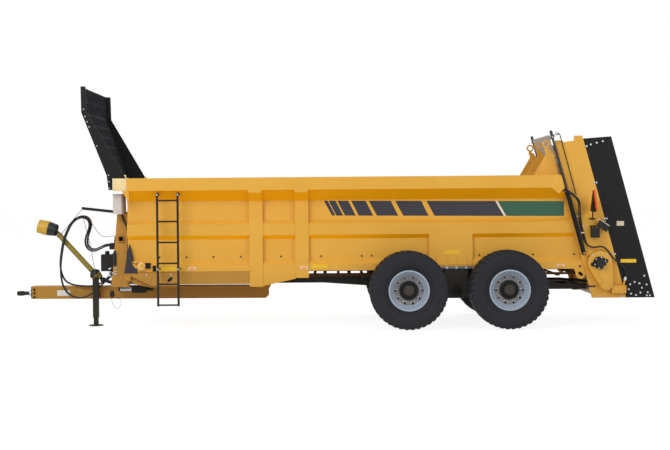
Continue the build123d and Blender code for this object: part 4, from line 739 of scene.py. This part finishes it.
class SPREADER_OT_headboard(bpy.types.Operator):
    """Fill the headboard with its screen and cap the rails' front ends"""

    bl_idname = "spreader.headboard"
    bl_label = "Headboard"

    def execute(self, context):
        half = 1.066
        margin = 0.025
        columns = 40
        pitch = (2 * half - 2 * margin) / columns
        # Half thickness of a cross bar, and its height along the sheet
        thin = 0.0045
        tall = 0.03
        bars = []
        # Columns: x and z of each sheet's upper and lower edge, and its number of cross bars
        for (x0, z0), (x1, z1), count in (((-4.273, 4.252), (-4.268, 3.812), 3),
                                          ((-4.268, 3.812), (-3.838, 2.694), 7)):
            length = math.hypot(x1 - x0, z1 - z0)
            base = facing((x0, 0, z0), Vector((x1 - x0, 0, z1 - z0)).normalized())
            across = base.inverted().to_3x3() @ Vector((0, 1, 0))
            side = Vector((round(across.x), round(across.y), 0))
            upright = add_block((-0.013, -0.003, 0), (0.013, 0.003, length))
            if side.y:
                placed(upright, Matrix.Rotation(math.pi / 2, 4, "Z"))
            spots = [Matrix.Translation(side * ((k + 0.5) * pitch - half + margin)) for k in range(columns)]
            bars += [placed(copy, base) for copy in copies(upright, spots)]
            wide, deep = (half, thin) if side.x else (thin, half)
            for k in range(count):
                along = (length - tall) * k / (count - 1)
                bars.append(placed(add_block((-wide, -deep, along), (wide, deep, along + tall)), base))
        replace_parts(finish(bars, "headboard_screen", "screen"), "headboard_grille")
        cap_y = 1.1325
        caps = twin_blocks((-3.751, cap_y - 0.003, 2.437), (-3.511, cap_y, 2.653), 0.0012)
        caps += twin_blocks((-3.556, 1.11, 2.65), (-3.514, 1.128, 2.715), 0.002)
        finish(caps, "rail_caps", "cream")
        heads = [(x, z) for x in (-3.715, -3.542) for z in (2.607, 2.472)]
        bolt_row("rail_cap_bolts", mirrored(cap_y, heads), 0.016)
        gusset = [(-3.6, 2.437), (-3.47, 2.437), (-3.47, 2.264), (-3.482, 2.264)]
        finish(twin_plates(gusset, 1.118, 1.128, 0.001), "rail_gussets", "yellow")
        return {"FINISHED"}


class SPREADER_OT_drive_guards(bpy.types.Operator):
    """Turn the guards of the parked drive shaft"""

    bl_idname = "spreader.drive_guards"
    bl_label = "Drive shaft guards"

    def execute(self, context):
        # Upper and lower end of the parked shaft, and the way that its free yoke points
        high = Vector((-4.997, 0, 1.687))
        low = Vector((-4.317, 0, 0.931))
        axis = (low - high).normalized()
        joint = high - axis * 0.07
        yoke = Vector((-0.97, 0, 0.24)).normalized()
        # Drum over the free yoke, its black bell, the lower ring and cone, in (radius, along) points
        drum = lathe([(0.122, 0.108), (0.134, 0.112), (0.135, 0.15), (0.13, 0.156), (0.132, 0.205),
                      (0.127, 0.21), (0.124, 0.296), (0.118, 0.3), (0.114, 0.298), (0.122, 0.16),
                      (0.118, 0.112)], joint, yoke, 56)
        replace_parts(finish([drum], "guard_drum", "guard_yellow"), "pto_guards")
        bell = lathe([(0.098, -0.04), (0.104, -0.044), (0.11, -0.036), (0.116, 0.02), (0.124, 0.06),
                      (0.127, 0.118), (0.12, 0.12), (0.116, 0.064), (0.108, 0.024), (0.1, -0.03)],
                     joint, yoke, 56)
        ring = lathe([(0.052, -0.06), (0.062, -0.056), (0.098, -0.014), (0.104, 0.0), (0.104, 0.03),
                      (0.096, 0.036), (0.092, 0.004), (0.052, -0.046)], low, axis, 56)
        finish([bell, ring], "guard_bells", "guard_black")
        cone = lathe([(0.094, 0.026), (0.098, 0.032), (0.092, 0.07), (0.08, 0.118), (0.084, 0.122),
                      (0.082, 0.134), (0.074, 0.134), (0.072, 0.118), (0.086, 0.064), (0.088, 0.03)],
                     low, axis)
        sleeve = lathe([(0.0465, 0.03), (0.05, 0.03), (0.05, 0.3), (0.0488, 0.304), (0.0488, 0.944),
                        (0.0465, 0.944)], high, axis, 40)
        finish([cone, sleeve], "guard_sleeve", "guard")
        return {"FINISHED"}


class SPREADER_OT_front_fittings(bpy.types.Operator):
    """Fit the conduit, the cabinet's cable, the filter, the couplers, the pins and the jack's knob"""

    bl_idname = "spreader.front_fittings"
    bl_label = "Front fittings"

    def execute(self, context):
        along = (1, 0, 0)
        conduit = clipped_line([(-3.551, -0.752, 1.662), (-3.556, -0.752, 1.5), (-3.575, -0.752, 1.25),
                                (-3.593, -0.752, 1.031)], 0.014)
        cable = clipped_line([(-3.69, -0.7, 2.031), (-3.649, -0.752, 2.0), (-3.636, -0.754, 1.93),
                              (-3.6, -0.754, 1.86), (-3.57, -0.752, 1.79), (-3.551, -0.752, 1.662)],
                             0.018)
        filter_can = lathe([(0, 0), (0.024, 0), (0.028, 0.006), (0.028, 0.23), (0.02, 0.24),
                            (0.02, 0.262), (0, 0.262)], (-3.797, -0.768, 1.111), (0, 0, 1), 28)
        box = soften(add_block((-4.005, -0.165, 0.509), (-3.942, -0.126, 0.614)), 0.004)
        finish([conduit, cable, filter_can, box], "front_lines", "hose")
        # Quick couplers: a knurled sleeve on a nipple
        coupler = turned([(0, 0), (0.011, 0), (0.011, 0.012), (0.018, 0.014), (0.019, 0.036), (0.016, 0.04),
                          (0.016, 0.052), (0.01, 0.056), (0, 0.056)], 20)
        spots = [(-3.93, -0.4 + 0.05 * i, 0.925 + 0.062 * j) for i in range(2) for j in range(3)]
        bright = copies(coupler, [facing(spot, (-0.93, 0, -0.37)) for spot in spots])
        pin = [(0, 0), (0.012, 0), (0.012, 0.05), (0.008, 0.056), (0, 0.056)]
        for x, z in ((-3.818, 0.995), (-3.813, 0.948), (-3.806, 1.064), (-3.861, 1.32), (-3.803, 1.319)):
            bright.append(lathe(pin, (x, -0.741, z), (0.9, -0.3, 0.35), 14))
        # Tube on the front frame, and the sleeve behind the hitch eye
        bright.append(lathe([(0, 0), (0.034, 0), (0.036, 0.004), (0.036, 0.016), (0.0345, 0.02),
                             (0.0345, 0.19), (0.036, 0.194), (0.036, 0.206), (0, 0.206)],
                            (-3.812, -0.17, 0.646), along, 32))
        bright.append(lathe([(0, 0), (0.0575, 0), (0.0575, 0.046), (0.052, 0.052), (0, 0.052)],
                            (-5.512, 0, 0.573), along, 32))
        finish(bright, "couplers", "zinc")
        knob = lathe([(0, 0), (0.01, 0.002), (0.019, 0.012), (0.021, 0.022), (0.016, 0.034), (0, 0.04)],
                     (-4.146, -0.346, 0.524), (0.9, -0.4, 0), 20)
        finish([knob], "jack_knob", "red_knob")
        return {"FINISHED"}


class SPREADER_OT_rear_fittings(bpy.types.Operator):
    """Fit the rams' lines, the sign's face, the lamps' edges and the strap"""

    bl_idname = "spreader.rear_fittings"
    bl_label = "Rear fittings"

    def execute(self, context):
        # The rams' two lines: the second is one step higher at first, and then one step further back
        rise = [(4.04, -1.035, 2.34), (4.09, -1.045, 2.385), (4.16, -1.05, 2.385), (4.25, -1.05, 2.325)]
        drop = [(4.345, -1.05, 2.25), (4.385, -1.045, 2.15), (4.395, -1.0, 2.02), (4.407, -0.958, 1.88),
                (4.442, -0.936, 1.72), (4.472, -0.934, 1.6), (4.5, -0.934, 1.5)]
        dark = []
        for step in (0, 0.026):
            route = [(x, y, z + step) for x, y, z in rise] + [(x + step, y, z) for x, y, z in drop]
            dark.append(clipped_line(route, 0.012))
        strap = soften(add_block((4.52, -0.9255, 0.68), (4.702, -0.9195, 0.708)), 0.0015)
        peg = soften(add_block((4.415, -0.913, 1.03), (4.449, -0.899, 1.064)), 0.002)
        finish([*dark, strap, peg], "rear_lines", "hose")
        pale = []
        for x, y, z in ((4.398, -0.975, 1.93), (4.458, -0.95, 1.64)):
            pale.append(soften(add_block((x - 0.022, y, z - 0.012), (x + 0.044, -0.9195, z + 0.012)), 0.003))
        pale.append(lathe([(0, 0), (0.022, 0), (0.024, 0.006), (0.024, 0.05), (0.019, 0.058), (0, 0.058)],
                          (5.207, -0.965, 0.8), (0.26, 0, 0.97), 24))
        pale += twin_plates([(4.741, 1.886), (4.916, 1.764), (4.911, 1.755), (4.736, 1.877)], 1.0745, 1.077)
        finish(pale, "rear_clips", "white")
        # Sign's face towards the back: a fluorescent triangle inside a red border
        standing = Matrix.Rotation(math.pi / 2, 4, "Z")
        border = plate([(-1.405, 2.012), (-1.423, 2.05), (-1.219, 2.382), (-1.161, 2.382), (-0.957, 2.05),
                        (-0.975, 2.012)], -4.6135, -4.6115)
        finish([placed(border, standing)], "sign_border", "red")
        face = plate([(-1.352, 2.04), (-1.19, 2.312), (-1.028, 2.04)], -4.615, -4.613)
        finish([placed(face, standing)], "sign_film", "orange")
        rims = [add_bar((4.62, -1.19 + sign * 0.229, 2.05), (4.62, -1.19 + sign * 0.032, 2.382), 0.016,
                        sides=8) for sign in (-1, 1)]
        finish(rims, "sign_rims", "orange")
        frames = []
        for x, seat in ((-2.41, 0.9), (-0.431, 0.915), (4.09, 0.9)):
            frames += twin_blocks((x - 0.066, seat + 0.001, 1.03), (x + 0.066, seat + 0.006, 1.088), 0.002)
        finish(frames, "marker_frames", "white")
        lenses = []
        for y, width in ((1.075, 0.024), (1.022, 0.022)):
            outline = [(0, 0), (width, 0), (width, 0.006), (width * 0.8, 0.012), (0, 0.014)]
            lenses += [lathe(outline, (4.739, sign * y, 1.645), (1, 0, 0), 28) for sign in (-1, 1)]
        finish(lenses, "tail_lenses", "red")
        return {"FINISHED"}


class SPREADER_OT_wall_shades(bpy.types.Operator):
    """Add the sills' slots as dark plates of painted shade, the corner skirts, the tensioners' rings, the
    webs and the beams' keepers
    """

    bl_idname = "spreader.wall_shades"
    bl_label = "Wall details"

    def execute(self, context):
        # The sills' slots are black plates: painted shade where the openings show their dark insides
        upright = [(-3.105, 1.01), (-3.043, 1.01), (-3.043, 1.12), (-3.105, 1.12)]
        slots = twin_plates(upright, 0.8995, 0.9012)
        tilt = math.radians(40)
        oval = [(0.056 * math.cos(k * math.tau / 20), 0.027 * math.sin(k * math.tau / 20)) for k in range(20)]
        leaning = [(-2.798 + a * math.cos(tilt) - b * math.sin(tilt),
                    0.87 + a * math.sin(tilt) + b * math.cos(tilt)) for a, b in oval]
        slots += twin_plates(leaning, 0.9065, 0.9085)
        slots += twin_blocks((-3.222, 0.9235, 1.062), (-3.135, 0.9265, 1.168), 0.001, 1)
        finish(slots, "sill_slot_shadows", "panel")
        skirt = [(-3.512, 1.5), (-3.548, 1.33), (-3.605, 0.986), (-3.368, 0.984), (-3.373, 1.052),
                 (-3.423, 1.086), (-3.47, 1.15), (-3.448, 1.24)]
        finish(twin_plates(skirt, 0.906, 0.91, 0.001), "corner_skirts", "skirt")
        ring = [(0.034, 0), (0.062, 0), (0.062, 0.01), (0.056, 0.014), (0.04, 0.014), (0.034, 0.01)]
        rings = [lathe(ring, (-3.294, sign * 0.9465, 1.112), (0, sign, 0), 32) for sign in (-1, 1)]
        finish(rings, "tensioner_rings", "cream")
        web = [(-3.6, 0.992), (-3.6, 0.862), (-3.4, 0.775), (-3.129, 0.716), (-2.7, 0.716),
               (-2.7, 0.992)]
        # The webs take the darker tones of painted shade under the hopper
        finish(twin_plates(web, 0.8, 0.806, 0.001), "bracket_webs", "shaded_yellow")
        # Keeper over the walking beam's pivot: a round plate with a smaller lobe on top, and the pin
        pivot_x = 2.265
        pivot_z = 0.62
        keeper_y = 0.9235
        outline = circle(pivot_x, pivot_z, 0.078, [math.radians(angle) for angle in range(-196, 17, 12)])
        outline += circle(pivot_x, 0.722, 0.044, [math.radians(angle) for angle in range(16, 165, 16)])
        keepers = twin_plates(outline, keeper_y - 0.012, keeper_y, 0.003, 2)
        pin = [(0, 0), (0.03, 0), (0.03, 0.008), (0.022, 0.012), (0.01, 0.012), (0.01, 0.004), (0, 0.004)]
        keepers += [lathe(pin, (pivot_x, sign * keeper_y, pivot_z), (0, sign, 0), 24) for sign in (-1, 1)]
        finish(keepers, "beam_keepers", "hub")
        return {"FINISHED"}


# Control points of the hoses' routes, from the manifold over the arm's hook and down to the couplers
HOSE_ROUTES = {
    "hose_low": [
        (-4.0, -0.13, 1.448), (-4.09, -0.112, 1.436), (-4.19, -0.092, 1.384), (-4.29, -0.074, 1.34),
        (-4.385, -0.058, 1.35), (-4.456, -0.046, 1.412), (-4.482, -0.036, 1.513), (-4.464, -0.03, 1.62),
        (-4.42, -0.028, 1.724), (-4.394, -0.028, 1.829), (-4.424, -0.028, 1.92), (-4.509, -0.028, 1.964),
        (-4.616, -0.03, 1.938), (-4.713, -0.044, 1.859), (-4.784, -0.07, 1.718), (-4.848, -0.104, 1.542),
        (-4.882, -0.14, 1.323), (-4.906, -0.172, 1.09), (-4.896, -0.19, 0.87), (-4.851, -0.198, 0.683),
        (-4.747, -0.202, 0.554), (-4.606, -0.204, 0.492), (-4.466, -0.204, 0.5), (-4.348, -0.204, 0.56),
        (-4.24, -0.206, 0.65), (-4.14, -0.23, 0.74), (-4.04, -0.3, 0.82), (-3.95, -0.38, 0.89),
        (-3.926, -0.4, 0.93),
    ],
    "hose_high": [
        (-4.0, -0.095, 1.466), (-4.09, -0.08, 1.466), (-4.196, -0.06, 1.416), (-4.292, -0.042, 1.372),
        (-4.372, -0.026, 1.384), (-4.428, -0.014, 1.432), (-4.446, -0.006, 1.52), (-4.432, 0.0, 1.62),
        (-4.392, 0.0, 1.724), (-4.364, 0.0, 1.836), (-4.402, 0.0, 1.945), (-4.505, 0.0, 1.994),
        (-4.63, -0.002, 1.966), (-4.738, -0.014, 1.872), (-4.812, -0.038, 1.722), (-4.876, -0.07, 1.542),
        (-4.908, -0.1, 1.323), (-4.926, -0.128, 1.11), (-4.9, -0.142, 0.95), (-4.83, -0.15, 0.8),
        (-4.698, -0.16, 0.735), (-4.523, -0.168, 0.712), (-4.347, -0.172, 0.706), (-4.2, -0.176, 0.74),
        (-4.08, -0.23, 0.82), (-3.975, -0.32, 0.92), (-3.928, -0.35, 0.99),
    ],
}
# Real length of each hose between its two ends, in metres
HOSE_LENGTHS = {"hose_low": 4.0, "hose_high": 3.75}
# Motor's hose: from the frame plate over the gear case to the coupler
MOTOR_HOSE = [
    (4.514, -0.934, 1.52), (4.53, -0.95, 1.45), (4.59, -0.985, 1.395), (4.66, -1.01, 1.38),
    (4.745, -1.02, 1.4), (4.83, -1.015, 1.392), (4.905, -1.0, 1.322), (4.985, -0.985, 1.205),
    (5.075, -0.975, 1.13), (5.16, -0.97, 1.062), (5.222, -0.966, 0.975), (5.236, -0.965, 0.905),
    (5.222, -0.965, 0.856),
]
# Thin cable that slings from the hook to the front upright
SLING = [
    (-4.44, -0.052, 1.99), (-4.386, -0.05, 1.918), (-4.323, -0.04, 1.815), (-4.222, -0.025, 1.659),
    (-4.171, -0.01, 1.613), (-4.08, 0.0, 1.6), (-3.964, 0.0, 1.622), (-3.85, 0.0, 1.618),
    (-3.735, 0.0, 1.605),
]
# Lamp cable that hangs from the hook to the drawbar
LAMP_CABLE = [
    (-4.5, -0.064, 1.955), (-4.478, -0.078, 1.895), (-4.449, -0.085, 1.764), (-4.402, -0.088, 1.598),
    (-4.358, -0.092, 1.405), (-4.327, -0.104, 1.213), (-4.3, -0.118, 1.06), (-4.262, -0.12, 0.96),
    (-4.235, -0.114, 0.86), (-4.215, -0.112, 0.77), (-4.21, -0.112, 0.706),
]
# Cable that loops down from the small box on the drawbar
LOOP = [
    (-3.985, -0.146, 0.512), (-3.984, -0.146, 0.462), (-3.972, -0.146, 0.4), (-3.935, -0.146, 0.33),
    (-3.875, -0.146, 0.28), (-3.816, -0.146, 0.345), (-3.806, -0.146, 0.426), (-3.85, -0.142, 0.49),
    (-3.907, -0.136, 0.53), (-3.95, -0.132, 0.56),
]


class SPREADER_OT_hoses(bpy.types.Operator):
    """Hang the hydraulic hoses from the arm's hook"""

    bl_idname = "spreader.hoses"
    bl_label = "Hoses"

    def execute(self, context):
        diameter = context.scene.spreader_sizes.hose_diameter
        beside = Vector((0.016, -0.03, 0.006))
        # Columns: name, route, length, diameter, finish, the node that it replaces
        cords = []
        for name, route in HOSE_ROUTES.items():
            twin = [tuple(Vector(place) + beside) for place in route]
            cords.append((f"{name}_line", route, HOSE_LENGTHS[name], diameter, "hose", name))
            cords.append((f"{name}_twin", twin, HOSE_LENGTHS[name], diameter, "hose", None))
        cords += [
            ("motor_hose", MOTOR_HOSE, 1.09, 0.03, "hose", None),
            ("sling_cable", SLING, 0.91, 0.009, "cable", None),
            ("lamp_cable", LAMP_CABLE, 1.28, 0.009, "hose", None),
            ("box_cable", LOOP, 0.62, 0.007, "cable", None),
        ]
        for name, route, length, thick, finish_name, node in cords:
            hose = line_curve(name, route, thick / 2)
            hose.data.materials.append(materials[finish_name])
            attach(hose, "machine")
            if node:
                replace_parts(hose, node)
        return {"FINISHED"}


def seen_directly(tree):
    """A node that gives 1 to the rays of the camera and of reflections, and 0 to the rest."""
    rays = add_node(tree, "ShaderNodeLightPath")
    return add_node(tree, "ShaderNodeMath", links={0: (rays, "Is Camera Ray"), 1: (rays, "Is Glossy Ray")},
                    operation="MAXIMUM")


class SPREADER_OT_stage(bpy.types.Operator):
    """Lay the floor, set the lights and aim the camera"""

    bl_idname = "spreader.stage"
    bl_label = "Stage"

    def execute(self, context):
        take()
        bpy.ops.mesh.primitive_plane_add(size=400, location=(0, 0, 0))
        floor = context.object
        floor.name = "studio_floor"
        material = bpy.data.materials.new("matt_studio_floor")
        material.use_nodes = True
        tree = material.node_tree
        tree.nodes.clear()
        paint = add_node(tree, "ShaderNodeBsdfDiffuse", {"Color": linear("F4F4F2")})
        # The floor glows where it is looked at, so that it meets the white world without a horizon
        glow = 1.2
        glow_share = 0.74
        bright = add_node(tree, "ShaderNodeEmission", {"Color": (1, 1, 1, 1), "Strength": glow})
        share = add_node(tree, "ShaderNodeMath", {1: glow_share}, {0: (seen_directly(tree), 0)},
                         operation="MULTIPLY")
        mix = add_node(tree, "ShaderNodeMixShader", links={0: (share, 0), 1: (paint, 0), 2: (bright, 0)})
        add_node(tree, "ShaderNodeOutputMaterial", links={"Surface": (mix, 0)})
        floor.data.materials.append(material)

        world = bpy.data.worlds.new("studio")
        context.scene.world = world
        world.use_nodes = True
        tree = world.node_tree
        tree.nodes.clear()
        # The world is white where it is looked at, and dimmer as a light
        sky_light = 0.46
        soft = add_node(tree, "ShaderNodeBackground", {"Color": linear("FFFFFF"), "Strength": sky_light})
        white = add_node(tree, "ShaderNodeBackground", {"Color": (1, 1, 1, 1), "Strength": 1.0})
        seen = seen_directly(tree)
        mix = add_node(tree, "ShaderNodeMixShader", links={0: (seen, 0), 1: (soft, 0), 2: (white, 0)})
        add_node(tree, "ShaderNodeOutputWorld", links={"Surface": (mix, 0)})

        # Columns: name, place, aim, size, power
        lamps = [
            ("key", (-7, -14, 11), (0, 0, 1.5), 7, 1190),
            ("fill", (10, -12, 6), (1, 0, 1.5), 8, 380),
            ("rim", (2, 12, 9), (0, 0, 2), 8, 500),
        ]
        for name, place, aim, size, power in lamps:
            light = bpy.data.lights.new(name, "AREA")
            light.shape = "SQUARE"
            light.size = size
            light.energy = power
            lamp = bpy.data.objects.new(name, light)
            lamp.location = place
            lamp.rotation_euler = (Vector(aim) - Vector(place)).to_track_quat("-Z", "Y").to_euler()
            context.scene.collection.objects.link(lamp)

        lens = bpy.data.cameras.new("camera")
        lens.sensor_width = SENSOR_MM
        lens.lens = FOCAL_PX / WIDTH_PX * SENSOR_MM
        camera = bpy.data.objects.new("camera", lens)
        camera.location = (0.173, -21.55, 2.32)
        # In the photograph: the horizon and the vanishing point off its middle, and the ground line's slope
        horizon_px = 29
        sideways_px = 3
        ground_slope = 0.008
        pitch = math.atan(horizon_px / FOCAL_PX)
        yaw = math.atan(sideways_px / FOCAL_PX)
        roll = -math.atan(ground_slope)
        turn = Matrix.Rotation(yaw, 4, "Z") @ Matrix.Rotation(math.pi / 2 - pitch, 4, "X")
        camera.rotation_euler = (turn @ Matrix.Rotation(roll, 4, "Z")).to_euler()
        context.scene.collection.objects.link(camera)
        context.scene.camera = camera
        context.scene.view_settings.view_transform = "Standard"
        return {"FINISHED"}


OPERATORS = [
    SPREADER_OT_stage,
    SPREADER_OT_finishes,
    SPREADER_OT_hoses,
    SPREADER_OT_tyres,
    SPREADER_OT_wheel_trim,
    SPREADER_OT_stripes,
    SPREADER_OT_bolts,
    SPREADER_OT_reflectors,
    SPREADER_OT_headboard,
    SPREADER_OT_drive_guards,
    SPREADER_OT_front_fittings,
    SPREADER_OT_rear_fittings,
    SPREADER_OT_wall_shades,
]


class SPREADER_PT_panel(bpy.types.Panel):
    """The spreader's pieces and settings in the sidebar"""

    bl_idname = "SPREADER_PT_panel"
    bl_label = "Manure spreader"
    bl_space_type = "VIEW_3D"
    bl_region_type = "UI"
    bl_category = "Spreader"

    def draw(self, context):
        for group in (context.scene.spreader_sizes, context.scene.spreader_colours):
            for key in group.bl_rna.properties.keys():
                if key not in ("rna_type", "name"):
                    self.layout.prop(group, key)
        for operator in OPERATORS:
            self.layout.operator(operator.bl_idname)


CLASSES = [SpreaderColours, SpreaderSizes, *OPERATORS, SPREADER_PT_panel]


def register():
    for cls in CLASSES:
        bpy.utils.register_class(cls)
    bpy.types.Scene.spreader_sizes = bpy.props.PointerProperty(type=SpreaderSizes)
    bpy.types.Scene.spreader_colours = bpy.props.PointerProperty(type=SpreaderColours)


def unregister():
    del bpy.types.Scene.spreader_sizes
    del bpy.types.Scene.spreader_colours
    for cls in reversed(CLASSES):
        bpy.utils.unregister_class(cls)


def main():
    """Build every piece in order."""
    register()
    for operator in OPERATORS:
        group, name = operator.bl_idname.split(".")
        getattr(getattr(bpy.ops, group), name)()
    take()


if __name__ == "__main__":
    main()
